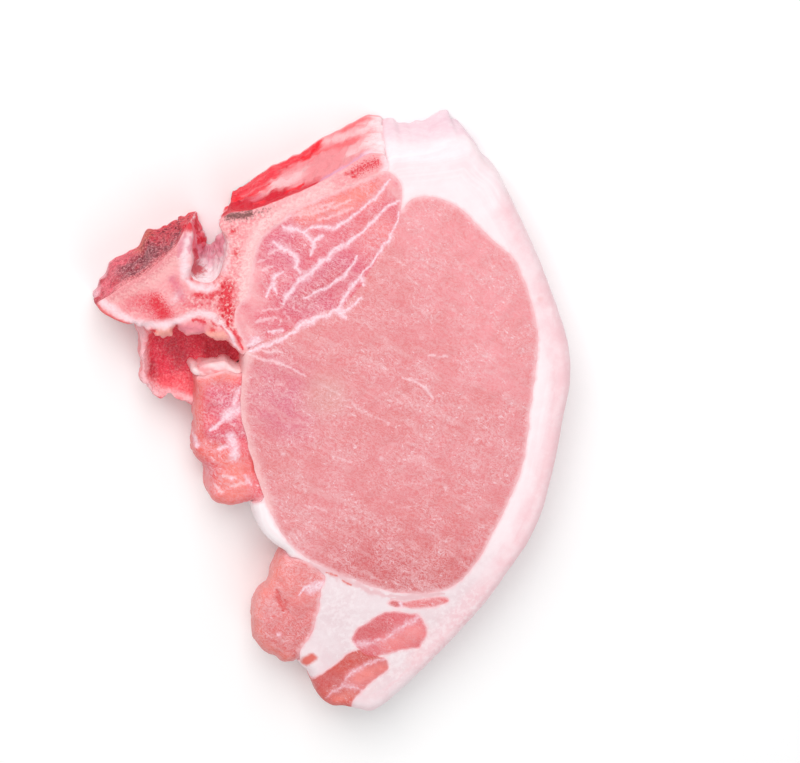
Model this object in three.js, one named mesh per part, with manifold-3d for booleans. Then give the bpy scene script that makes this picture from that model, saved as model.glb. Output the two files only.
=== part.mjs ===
// A raw bone-in pork loin steak lying flat on its lower cut face.
// Millimetres, +Z up. X runs across the steak from the backbone to the fat rim, Y along it from the
// belly tail to the back fat. Every muscle, the bone and the fat run through the whole cut.

import * as THREE from "three";
import Module from "manifold-3d";

// Driving dimensions
const THICKNESS = 20;
const SEAM = 0.3;
const RIM_ROUND = 2.6;
const FOOT_ROUND = 1.2;
const CUT_ROUND = 0.5;
const EYE_CROWN = 0.8;
const MUSCLE_CROWN = 0.5;

// The sawn backbone side leans out towards the lower face
const SPLIT_FLARE = 4.5;
const SPLIT_NORMAL = new THREE.Vector2(-0.41, 0.91);
const SPLIT_FROM = 34;
const SPLIT_FULL = 48;

// The belly tail is thinner than the rest
const TAIL_DROP = 3.5;
const TAIL_FROM = -35;
const TAIL_END = -77;

// The tenderloin end and the flank lobe are loose, rounded muscles
const TENDERLOIN_HEIGHT = 17.5;
const TENDERLOIN_ROUND = 2.8;
const FLAP_HEIGHT = 18.2;
const LOBE_HEIGHT = 19.2;
const LOBE_ROUND = 2.4;

// The lower half of the vertebral body is broken out below the cut face
const BROKEN_HEIGHT = 13;
const HOLLOWS = [
  { centre: new THREE.Vector3(-39, 15.5, 14.5), radii: new THREE.Vector3(7.2, 8.4, 6.5) },
  { centre: new THREE.Vector3(-30.5, 20.5, 14), radii: new THREE.Vector3(7.5, 4.5, 4.5) },
];

// Spacing of the points along an outline, and how far a cutting prism stands past both faces
const FINE_STEP = 1.8;
const COARSE_STEP = 2.6;
const CUT_PAST = 5;
const ROUND_STEPS = 3;
const CROWN_RINGS = [0.8, 0.55, 0.28];

// Outlines on the upper cut face; a closed smooth curve runs through the points
const LOIN_EYE = [
  [-21.5, 18.5], [-12, 23.5], [-3.5, 28], [2, 29.5], [10.5, 41], [16, 52], [19, 55.5], [23.5, 56],
  [29, 54], [38.5, 45], [44.5, 39], [49.5, 24], [50, 17], [48.5, 4], [46.5, -12.5], [42, -24],
  [33.5, -39.5], [28, -44], [19, -45], [9, -42.5], [-10, -32], [-16.5, -21], [-21, -6], [-23, 5],
  [-22.5, 13],
];
const CHINE_MUSCLE = [
  [-20.5, 19.5], [-23, 22.5], [-24.5, 27.5], [-23, 32], [-21.5, 37.5], [-20.5, 43.5], [-17.5, 48],
  [-12, 51], [-4.5, 56], [8.5, 61.5], [12.5, 62.5], [15.5, 60.5], [16.5, 56.5], [15, 48], [4, 29],
  [-3, 26.5], [-12, 22],
];
const VERTEBRA = [
  [-57, 31.5], [-49.5, 36.5], [-45.5, 39], [-41.5, 43], [-36, 48], [-34, 44], [-34, 39.5],
  [-32.5, 36.5], [-30, 35], [-27.5, 37], [-26, 41], [-26, 46], [-27, 50], [-25.5, 53.5], [-17, 54.5],
  [-5, 59.5], [7.5, 66], [12, 66], [12.5, 63], [-4.5, 55.5], [-17.5, 47], [-21, 36], [-22, 27],
  [-22, 19], [-25, 23], [-30, 27.5], [-36.5, 27.5], [-42.5, 26], [-50, 27],
];
const BROKEN_BODY = [
  [-47, 24], [-47, 11.5], [-45, 8.5], [-38, 5], [-34.5, 4], [-34.2, 9], [-35.5, 13], [-34.5, 16.5],
  [-27, 18.2], [-24.5, 16.8], [-22.5, 18.5], [-28, 27.5], [-36, 29], [-44, 28],
];
const TENDERLOIN = [
  [-33.5, 12.5], [-29, 15], [-25, 14.5], [-21, 10], [-18.5, -3.5], [-16, -14], [-18, -19], [-25.5, -21],
  [-29, -20.5], [-31, -17.5], [-31, -13], [-34, -8.5], [-34.5, 2], [-33.5, 9],
];
const FAT_FLAP = [
  [-35.2, 13.6], [-34, 16.2], [-27, 17.9], [-24.5, 16], [-22.8, 14.4], [-24.8, 13.4], [-27.3, 14.2],
  [-29.7, 13], [-33, 12],
];
const FLANK_LOBE = [
  [-11.5, -34], [-4, -38], [-2.5, -40], [-4, -47.5], [-7.5, -56.5], [-9.5, -62.5], [-13.5, -62.5],
  [-19.5, -57], [-20.5, -50.5], [-18, -42.5], [-15, -38.5],
];
const BELLY_STRIP_UPPER = [
  [4.5, -56], [9, -52], [12.5, -49.8], [21, -50.5], [23, -55], [21.5, -58.5], [16, -60], [6, -59.2],
];
const BELLY_STRIP_LOWER = [
  [-5.8, -68], [3.5, -61.5], [9, -61.5], [12.5, -64], [6.5, -70.5], [4, -76], [-1, -78], [-5, -74],
];
const BELLY_SLIVER = [
  [13.5, -47.6], [18, -46.6], [28.5, -46.6], [25.5, -48.2], [19, -49],
];
const FAT = [
  [13, 66.3], [17, 67.5], [25, 70.5], [30, 71.3], [33.5, 70], [37.5, 63.5], [44, 52], [51, 37.5],
  [56.5, 22], [58.5, 10], [57, -1], [54, -17.5], [48.5, -33], [38.5, -48], [24, -65], [13, -75],
  [9, -77], [2, -75.5], [-3.5, -73], [-6.5, -66], [-11, -63], [-10, -50], [-9, -42], [-11, -34],
  [-15, -31.5], [-19, -25.5], [-20, -20], [-14, -12], [20, 10], [20, 40], [10, 58],
];

const wasm = await Module();
wasm.setup();

/** A closed run of evenly spaced points, counter-clockwise, through the points given. */
function smoothOutline(points, step) {
  const knots = points.map(([x, y]) => new THREE.Vector3(x, y, 0));
  const curve = new THREE.CatmullRomCurve3(knots, true, "centripetal");
  const count = Math.round(curve.getLength() / step);
  const run = curve.getSpacedPoints(count).slice(0, count).map((p) => new THREE.Vector2(p.x, p.y));
  return THREE.ShapeUtils.isClockWise(run) ? run.reverse() : run;
}

/** The outline moved outwards by a distance, or inwards if it is negative. */
function offsetOutline(outline, distance) {
  return outline.map((point, i) => {
    const before = outline.at(i - 1);
    const after = outline[(i + 1) % outline.length];
    const along = after.clone().sub(before).normalize();
    return new THREE.Vector2(point.x + along.y * distance, point.y - along.x * distance);
  });
}

/** The middle of an outline's points. */
function middleOf(outline) {
  const sum = outline.reduce((total, point) => total.add(point), new THREE.Vector2());
  return sum.divideScalar(outline.length);
}

/** Insets and heights of the rings that round an edge, from the wall to the face. */
function roundedEdge(radius, wallZ, faceZ) {
  return Array.from({ length: ROUND_STEPS }, (_, i) => {
    const angle = ((i + 1) / ROUND_STEPS) * (Math.PI / 2);
    const inset = radius * (1 - Math.cos(angle));
    return [inset, wallZ + (faceZ - wallZ) * Math.sin(angle)];
  });
}

/** A closed solid between two faces of an outline, with rounded edges and, if asked, a crowned top. */
function slab(outline, { height, top, foot, crown = 0 }) {
  const lower = roundedEdge(foot, foot, 0).reverse();
  const upper = roundedEdge(top, height - top, height);
  const rings = [...lower, [0, foot], [0, height - top], ...upper].map(([inset, z]) =>
    offsetOutline(outline, -inset).map((p) => new THREE.Vector3(p.x, p.y, z)),
  );
  const lastRing = rings.at(-1);
  const lid = lastRing.map((p) => new THREE.Vector2(p.x, p.y));
  const middle = middleOf(lid);
  if (crown > 0) {
    for (const share of CROWN_RINGS) {
      const z = height + crown * (1 - share * share);
      rings.push(lid.map((p) => {
        const q = middle.clone().lerp(p, share);
        return new THREE.Vector3(q.x, q.y, z);
      }));
    }
  }

  const count = outline.length;
  const points = rings.flat();
  const faces = [];
  for (let ring = 0; ring + 1 < rings.length; ring += 1) {
    for (let i = 0; i < count; i += 1) {
      const next = (i + 1) % count;
      const a = ring * count + i;
      const b = ring * count + next;
      faces.push(a, b, b + count, a, b + count, a + count);
    }
  }
  const base = rings[0].map((p) => new THREE.Vector2(p.x, p.y));
  for (const [a, b, c] of THREE.ShapeUtils.triangulateShape(base, [])) {
    faces.push(a, c, b);
  }
  const start = (rings.length - 1) * count;
  if (crown > 0) {
    points.push(new THREE.Vector3(middle.x, middle.y, height + crown));
    for (let i = 0; i < count; i += 1) {
      faces.push(start + i, start + ((i + 1) % count), points.length - 1);
    }
  } else {
    for (const [a, b, c] of THREE.ShapeUtils.triangulateShape(lid, [])) {
      faces.push(start + a, start + b, start + c);
    }
  }
  return solid(points.flatMap((p) => [p.x, p.y, p.z]), faces);
}

/** A plain prism of an outline grown by the seam, standing past both faces, to cut its place free. */
function place(outline) {
  const count = outline.length;
  const grown = offsetOutline(outline, SEAM);
  const points = [-CUT_PAST, THICKNESS + CUT_PAST].flatMap((z) => grown.flatMap((p) => [p.x, p.y, z]));
  const faces = [];
  for (let i = 0; i < count; i += 1) {
    const next = (i + 1) % count;
    faces.push(i, next, next + count, i, next + count, i + count);
  }
  for (const [a, b, c] of THREE.ShapeUtils.triangulateShape(grown, [])) {
    faces.push(a, c, b, a + count, b + count, c + count);
  }
  return solid(points, faces);
}

/** A solid from flat lists of coordinates and corner numbers. */
function solid(coordinates, faces) {
  const vertProperties = Float32Array.from(coordinates);
  const triVerts = Uint32Array.from(faces);
  return new wasm.Manifold(new wasm.Mesh({ numProp: 3, vertProperties, triVerts }));
}

/** An ellipsoid, for a hollow of the broken bone. */
function ellipsoid({ centre, radii }) {
  const columns = 20;
  const rows = 10;
  const ball = new THREE.SphereGeometry(1, columns, rows);
  const position = ball.getAttribute("position");
  const points = [0, 0, 1];
  for (let row = 1; row < rows; row += 1) {
    for (let column = 0; column < columns; column += 1) {
      const i = row * (columns + 1) + column;
      points.push(position.getX(i), -position.getZ(i), position.getY(i));
    }
  }
  points.push(0, 0, -1);
  const south = points.length / 3 - 1;
  const faces = [];
  for (let column = 0; column < columns; column += 1) {
    const next = (column + 1) % columns;
    faces.push(0, 1 + column, 1 + next);
    for (let row = 0; row + 2 < rows; row += 1) {
      const a = 1 + row * columns + column;
      const b = 1 + row * columns + next;
      faces.push(a, a + columns, b + columns, a, b + columns, b);
    }
    faces.push(south, south - columns + next, south - columns + column);
  }
  const placed = points.map((value, i) => {
    const axis = i % 3;
    return centre.getComponent(axis) + value * radii.getComponent(axis);
  });
  return solid(placed, faces);
}

/** The point of the finished steak for a point of the straight-sided one. */
function leaned(point) {
  const across = SPLIT_NORMAL.x * point.x + SPLIT_NORMAL.y * point.y;
  const onSplit = THREE.MathUtils.smoothstep(across, SPLIT_FROM, SPLIT_FULL);
  const lean = SPLIT_FLARE * onSplit * (1 - point.z / THICKNESS);
  const onTail = THREE.MathUtils.smoothstep(-point.y, -TAIL_FROM, -TAIL_END);
  const share = 1 - (TAIL_DROP / THICKNESS) * onTail;
  return new THREE.Vector3(
    point.x + SPLIT_NORMAL.x * lean,
    point.y + SPLIT_NORMAL.y * lean,
    point.z * share,
  );
}

/** The finished surface of a straight-sided solid. */
function surface(body) {
  const mesh = body.getMesh();
  const positions = [];
  for (let i = 0; i < mesh.vertProperties.length; i += mesh.numProp) {
    const [x, y, z] = mesh.vertProperties.slice(i, i + 3);
    positions.push(...leaned(new THREE.Vector3(x, y, z)));
  }
  const geometry = new THREE.BufferGeometry();
  geometry.setAttribute("position", new THREE.Float32BufferAttribute(positions, 3));
  geometry.setIndex(Array.from(mesh.triVerts));
  geometry.computeVertexNormals();
  return geometry;
}

const outlines = {
  eye: smoothOutline(LOIN_EYE, COARSE_STEP),
  chine: smoothOutline(CHINE_MUSCLE, COARSE_STEP),
  vertebra: smoothOutline(VERTEBRA, FINE_STEP),
  broken: smoothOutline(BROKEN_BODY, FINE_STEP),
  tenderloin: smoothOutline(TENDERLOIN, FINE_STEP),
  flap: smoothOutline(FAT_FLAP, FINE_STEP),
  lobe: smoothOutline(FLANK_LOBE, COARSE_STEP),
  stripUpper: smoothOutline(BELLY_STRIP_UPPER, FINE_STEP),
  stripLower: smoothOutline(BELLY_STRIP_LOWER, FINE_STEP),
  sliver: smoothOutline(BELLY_SLIVER, FINE_STEP),
  fat: smoothOutline(FAT, COARSE_STEP),
};

const cutFace = { height: THICKNESS, top: CUT_ROUND, foot: CUT_ROUND };
const muscleFace = { ...cutFace, crown: MUSCLE_CROWN };

// The loin eye, and the chine muscle that lies against it under the spine
const eye = slab(outlines.eye, { ...cutFace, crown: EYE_CROWN });
const eyePlace = place(outlines.eye);
const chine = slab(outlines.chine, muscleFace).subtract(eyePlace);
const chinePlace = place(outlines.chine);

// The split vertebra: spine, arch, open canal and body in one piece, the lower body broken hollow
const wholeBone = slab(outlines.vertebra, cutFace);
const brokenBone = HOLLOWS.map(ellipsoid).reduce(
  (body, hollow) => body.subtract(hollow),
  slab(outlines.broken, { ...cutFace, height: BROKEN_HEIGHT }),
);
const vertebra = wholeBone.add(brokenBone).subtract(chinePlace).subtract(eyePlace);
const vertebraPlace = place(outlines.vertebra).add(place(outlines.broken));

// The loose muscles on the inner side; a flap of fat lies across the end of the tenderloin
const flap = slab(outlines.flap, { height: FLAP_HEIGHT, top: CUT_ROUND, foot: CUT_ROUND })
  .subtract(eyePlace)
  .subtract(vertebraPlace);
const flapPlace = place(outlines.flap);
const loose = { foot: FOOT_ROUND, crown: EYE_CROWN };
const tenderloin = slab(outlines.tenderloin, { ...loose, height: TENDERLOIN_HEIGHT, top: TENDERLOIN_ROUND })
  .subtract(eyePlace)
  .subtract(vertebraPlace)
  .subtract(flapPlace);
const lobe = slab(outlines.lobe, { ...loose, height: LOBE_HEIGHT, top: LOBE_ROUND }).subtract(eyePlace);
const lobePlace = place(outlines.lobe);

// The lean strips of the belly lie in the fat; the lower one reaches its edge
const fatBody = slab(outlines.fat, { height: THICKNESS, top: RIM_ROUND, foot: FOOT_ROUND });
const stripUpper = slab(outlines.stripUpper, muscleFace);
const stripLower = slab(outlines.stripLower, cutFace).intersect(fatBody);
const sliver = slab(outlines.sliver, cutFace);
const leanPlaces = [outlines.stripUpper, outlines.stripLower, outlines.sliver].map((run) => place(run));

const fat = [eyePlace, chinePlace, vertebraPlace, place(outlines.tenderloin), lobePlace, ...leanPlaces]
  .reduce((body, cutter) => body.subtract(cutter), fatBody);

const lean = { roughness: 0.4, metalness: 0 };
const pieces = [
  ["loin_eye", eye, { color: 0xd9807c, ...lean }],
  ["chine_muscle", chine, { color: 0xd4696b, ...lean }],
  ["vertebra", vertebra, { color: 0xd98a86, roughness: 0.6, metalness: 0 }],
  ["tenderloin", tenderloin, { color: 0xe07a6c, ...lean }],
  ["fat_flap", flap, { color: 0xf3e4e0, roughness: 0.45, metalness: 0 }],
  ["flank_lobe", lobe, { color: 0xd9746c, ...lean }],
  ["belly_strip_upper", stripUpper, { color: 0xdd7f78, ...lean }],
  ["belly_strip_lower", stripLower, { color: 0xdd7f78, ...lean }],
  ["belly_sliver", sliver, { color: 0xe39a90, ...lean }],
  ["fat", fat, { color: 0xf6ebe6, roughness: 0.45, metalness: 0 }],
];

const group = new THREE.Group();
group.name = "pork_loin_steak";
for (const [name, body, finish] of pieces) {
  const mesh = new THREE.Mesh(surface(body), new THREE.MeshStandardMaterial(finish));
  mesh.name = name;
  group.add(mesh);
}

// The middle of the resting face is the origin
const middle = new THREE.Box3().setFromObject(group).getCenter(new THREE.Vector3());
for (const mesh of group.children) {
  mesh.geometry.translate(-middle.x, -middle.y, 0);
}

export default group;
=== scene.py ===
"""Visual model of a raw bone-in pork loin steak that lies on its lower cut face.

The plan of the upper cut face is split into triangles once, so neighbouring pieces share their borders.
Each piece is made of closed columns over its own triangles, with their own heights, walls and finish.
Plan sizes are millimetres. Meshes are metres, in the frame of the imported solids.
"""

import logging
import math
from dataclasses import dataclass, field
from enum import Enum
from typing import Sequence, Union

import bpy
import numpy as np
from mathutils import Matrix, Vector, geometry, kdtree, noise


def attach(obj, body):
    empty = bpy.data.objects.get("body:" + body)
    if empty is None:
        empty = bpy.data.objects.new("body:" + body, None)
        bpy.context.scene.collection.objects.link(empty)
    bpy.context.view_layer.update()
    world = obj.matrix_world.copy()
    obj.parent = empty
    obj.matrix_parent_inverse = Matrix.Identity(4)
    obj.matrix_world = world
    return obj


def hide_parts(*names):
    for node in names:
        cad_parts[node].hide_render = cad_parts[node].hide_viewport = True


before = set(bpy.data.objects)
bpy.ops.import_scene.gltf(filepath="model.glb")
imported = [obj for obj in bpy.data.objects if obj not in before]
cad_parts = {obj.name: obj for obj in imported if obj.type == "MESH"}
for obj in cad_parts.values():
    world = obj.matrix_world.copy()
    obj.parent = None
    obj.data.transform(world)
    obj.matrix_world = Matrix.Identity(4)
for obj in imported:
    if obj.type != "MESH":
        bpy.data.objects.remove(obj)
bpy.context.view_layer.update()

log = logging.getLogger("pork_steak")

Point = tuple[float, ...]
Colour = tuple[float, float, float]
Socket = bpy.types.NodeSocket
Sockets = bpy.types.NodeOutputs
Input = Union[float, tuple, Socket]

# Metres in a millimetre
MM = 0.001

# Thickness of the steak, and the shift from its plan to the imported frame
THICKNESS = 20.0
PLAN_SHIFT = np.array((0.13, 0.93))

# The belly tail is thinner than the rest, from one distance below the middle to another
TAIL_DROP = 3.5
TAIL_FROM, TAIL_END = 35.0, 77.0

# Spacing of points over the plan, along outlines and along thin strokes
GRID_STEP = 0.55
OUTLINE_STEP = 0.5
STROKE_STEP = 0.45

# Clear space round outlines and strokes, and rows of points inside free edges
NEAR_POINT = 0.3
ROW_INSETS = (0.12, 0.34)

# Points in each stretch of a smooth curve before it is spaced evenly
CURVE_POINTS = 24

# Farthest distance that the fields of a mesh hold
FARTHEST = 50.0

# Gaps too small to matter: between points of a curve, between plan points, and in a division
CURVE_GAP = 1e-4
PLAN_GAP = 1e-5
TINY = 1e-9

# How solid turbulence falls off from layer to layer, how much finer each is, and layers on a face
LUMP_FALL = 0.9
LUMP_RATIO = 2.0
FACE_LAYERS = 4


def smoothstep(values: np.ndarray, low: float, high: float) -> np.ndarray:
    """Ease values from 0 at low to 1 at high."""
    share = np.clip((values - low) / (high - low), 0.0, 1.0)
    return share * share * (3.0 - 2.0 * share)


def tone(red: int, green: int, blue: int) -> Colour:
    """Turn a display colour of 0 to 255 into the linear one that shaders use."""
    shares = (value / 255.0 for value in (red, green, blue))
    return tuple(s / 12.92 if s <= 0.04045 else ((s + 0.055) / 1.055) ** 2.4 for s in shares)


def smooth_run(points: Sequence[Point], step: float, closed: bool) -> np.ndarray:
    """Run an even row of points along a centripetal curve.

    Args:
        points: Plan points that the curve goes through.
        step: Spacing of the row.
        closed: Whether the curve goes back to its first point.

    Returns:
        The row as an array of plan points, without a repeat of the first.
    """
    knots = np.array(points, dtype=float)
    if len(knots) == 1:
        return knots
    if closed:
        padded = np.vstack((knots[-1:], knots, knots[:2]))
    else:
        padded = np.vstack((2 * knots[0] - knots[1], knots, 2 * knots[-1] - knots[-2]))
    share = np.linspace(0.0, 1.0, CURVE_POINTS, endpoint=False)[:, None]
    parts = []
    for p0, p1, p2, p3 in zip(padded, padded[1:], padded[2:], padded[3:]):
        spans = (p1 - p0, p2 - p1, p3 - p2)
        d0, d1, d2 = (max(math.sqrt(np.linalg.norm(span)), CURVE_GAP) for span in spans)
        leave = ((p1 - p0) / d0 - (p2 - p0) / (d0 + d1) + (p2 - p1) / d1) * d1
        reach = ((p2 - p1) / d1 - (p3 - p1) / (d1 + d2) + (p3 - p2) / d2) * d1
        square, cube = 3 * (p2 - p1) - 2 * leave - reach, 2 * (p1 - p2) + leave + reach
        parts.append(p1 + leave * share + square * share**2 + cube * share**3)
    fine = np.vstack((*parts, knots[:1] if closed else knots[-1:]))
    along = np.concatenate(((0.0,), np.cumsum(np.linalg.norm(np.diff(fine, axis=0), axis=1))))
    count = max(int(round(along[-1] / step)), 2)
    stops = np.linspace(0.0, along[-1], count + 1)
    row = np.stack([np.interp(stops, along, fine[:, axis]) for axis in range(fine.shape[1])], axis=1)
    return row[:-1] if closed else row


def outward(ring: np.ndarray) -> np.ndarray:
    """Unit vectors across a counter-clockwise ring of plan points, pointing out of it."""
    way = np.roll(ring, -1, axis=0) - np.roll(ring, 1, axis=0)
    return np.stack((way[:, 1], -way[:, 0]), axis=1) / np.linalg.norm(way, axis=1, keepdims=True)


def distance_to(places: np.ndarray, starts: np.ndarray, ends: np.ndarray) -> np.ndarray:
    """Shortest distance from each place to a set of straight stretches.

    Args:
        places: Points, in two or three dimensions.
        starts: First ends of the stretches.
        ends: Second ends of the stretches.

    Returns:
        One distance for each place.
    """
    best = np.full(len(places), np.inf)
    for start, end in zip(starts, ends):
        span = end - start
        length = float(span @ span)
        away = places - start
        if length > 0.0:
            share = np.clip(away @ span / length, 0.0, 1.0)
            away = away - share[:, None] * span
        best = np.minimum(best, np.einsum("ij,ij->i", away, away))
    return np.sqrt(best)


def inside(places: np.ndarray, ring: np.ndarray) -> np.ndarray:
    """Tell which places lie inside a closed ring.

    Args:
        places: Plan places.
        ring: Plan points of the ring.

    Returns:
        One truth value for each place.
    """
    found = np.zeros(len(places), dtype=bool)
    low, high = ring.min(axis=0), ring.max(axis=0)
    near = np.all((places >= low) & (places <= high), axis=1)
    x, y = places[near, 0], places[near, 1]
    odd = np.zeros(len(x), dtype=bool)
    for (x0, y0), (x1, y1) in zip(ring, np.roll(ring, -1, axis=0)):
        if y0 != y1:
            odd ^= ((y0 > y) != (y1 > y)) & (x < (x1 - x0) * (y - y0) / (y1 - y0) + x0)
    found[near] = odd
    return found


class Ripple:
    """A smooth seeded unevenness, near 0 on average and about 1 at its crests."""

    WAVES = 28
    SPREAD = (0.7, 1.5)

    def __init__(self, seed: int, wavelength: float) -> None:
        """Draw the waves of the unevenness.

        Args:
            seed: Start of the random draw.
            wavelength: Usual distance between crests, in millimetres.
        """
        draw = np.random.RandomState(seed)
        turn = draw.uniform(0.0, 2.0 * math.pi, self.WAVES)
        pitch = 2.0 * math.pi / (wavelength * draw.uniform(*self.SPREAD, self.WAVES))
        self.waves = np.stack((np.cos(turn), np.sin(turn))) * pitch
        self.phases = draw.uniform(0.0, 2.0 * math.pi, self.WAVES)

    def __call__(self, places: np.ndarray) -> np.ndarray:
        """Height of the unevenness at plan places."""
        heights = np.sin(places[:, :2] @ self.waves + self.phases).sum(axis=1)
        return heights / math.sqrt(2.0 * self.WAVES)


def roughness_at(places: np.ndarray, pitch: float, octaves: int = 3) -> np.ndarray:
    """Solid turbulence at points in space, from about -1 to 1, with its largest lumps a pitch apart."""
    return np.array([noise.fractal(Vector(p) / pitch, LUMP_FALL, LUMP_RATIO, octaves) for p in places])


def face_lumps(places: np.ndarray, pitch: float) -> np.ndarray:
    """Solid turbulence at plan places, in many layers: see roughness_at."""
    solid = np.column_stack((places, np.zeros(len(places))))
    return roughness_at(solid, pitch, FACE_LAYERS)


@dataclass(frozen=True)
class Stroke:
    """A line or spot on a piece that a painted field fades away from.

    Attributes:
        points: Plan points, or points with a height as third number.
        width: Distance at which the field has faded to nothing.
        weight: Value of the field on the line.
    """

    points: tuple[Point, ...]
    width: float
    weight: float = 1.0

    STEP = 0.7
    THIN = 1.6
    WANDER, WANDER_SEED, WANDER_PITCH, WANDER_EASE = 0.3, 60, 3.2, 0.3
    SWELL, SWELL_LEAST, SWELL_WAVES = 0.35, 0.35, ((70, 2.2), (71, 7.0))
    TAPER, TAPER_RATE = 0.35, 3.0

    @property
    def thin(self) -> bool:
        """Whether the stroke is a thin line, which wanders, swells and tapers."""
        return self.width < self.THIN and len(self.points) > 1

    def row(self, step: float) -> np.ndarray:
        """Run even points along the stroke, which wander if it is thin.

        Args:
            step: Spacing of the points.

        Returns:
            The points, with heights where the stroke has them.
        """
        row = smooth_run(self.points, step, closed=False)
        if self.thin:
            ease = np.sin(np.linspace(0.0, math.pi, len(row))) ** self.WANDER_EASE
            for axis in (0, 1):
                row[:, axis] += self.WANDER * ease * Ripple(self.WANDER_SEED + axis, self.WANDER_PITCH)(row)
        return row

    def value(self, places: np.ndarray) -> np.ndarray:
        """Measure the stroke's field.

        Args:
            places: Points on the plan or in space.

        Returns:
            One value for each point.
        """
        row = self.row(self.STEP)
        flat = places[:, : row.shape[1]]
        if not self.thin:
            starts, ends = (row, row) if len(row) == 1 else (row[:-1], row[1:])
            return self.weight * np.clip(1.0 - distance_to(flat, starts, ends) / self.width, 0.0, 1.0)
        along = (np.arange(len(row) - 1) + 0.5) / (len(row) - 1)
        from_end = np.minimum(1.0, self.TAPER_RATE * np.minimum(along, 1.0 - along))
        taper = self.TAPER + (1.0 - self.TAPER) * from_end
        waves = sum(Ripple(seed, pitch)(places) for seed, pitch in self.SWELL_WAVES)
        swell = np.maximum(1.0 + self.SWELL * waves, self.SWELL_LEAST)
        near = [distance_to(flat, row[i : i + 1], row[i + 1 : i + 2]) / t for i, t in enumerate(taper)]
        return self.weight * np.clip(1.0 - np.min(near, axis=0) / (self.width * swell), 0.0, 1.0)


Paint = dict[str, tuple[Stroke, ...]]


def painted(**strokes: tuple[Stroke, ...]) -> Paint:
    """Give a column its own strokes of each painted field, as the default of a dataclass field."""
    return field(default_factory=lambda: dict(strokes))


def strokes_value(strokes: Sequence[Stroke], places: np.ndarray) -> np.ndarray:
    """Highest value among strokes at each of the places."""
    return np.max([stroke.value(places) for stroke in strokes], axis=0)


class Tissue(Enum):
    """What a piece is made of."""

    LEAN = "lean"
    FAT = "fat"
    BONE = "bone"


@dataclass
class Share:
    """The part of the plan that one column owns.

    Attributes:
        places: Plan points.
        corners: Triangles, as rows of three point numbers, counter-clockwise.
        border: Border edges, as rows of two point numbers, with the column on their left.
        free: Which border edges have nothing as high beside them.
        soft: Which border edges part one tissue from another.
    """

    places: np.ndarray
    corners: np.ndarray
    border: np.ndarray
    free: np.ndarray
    soft: np.ndarray


@dataclass
class Shell:
    """A closed mesh in the straight-sided steak, with painted fields on its points."""

    places: np.ndarray
    faces: list[tuple[int, ...]]
    fields: dict[str, np.ndarray]


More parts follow.
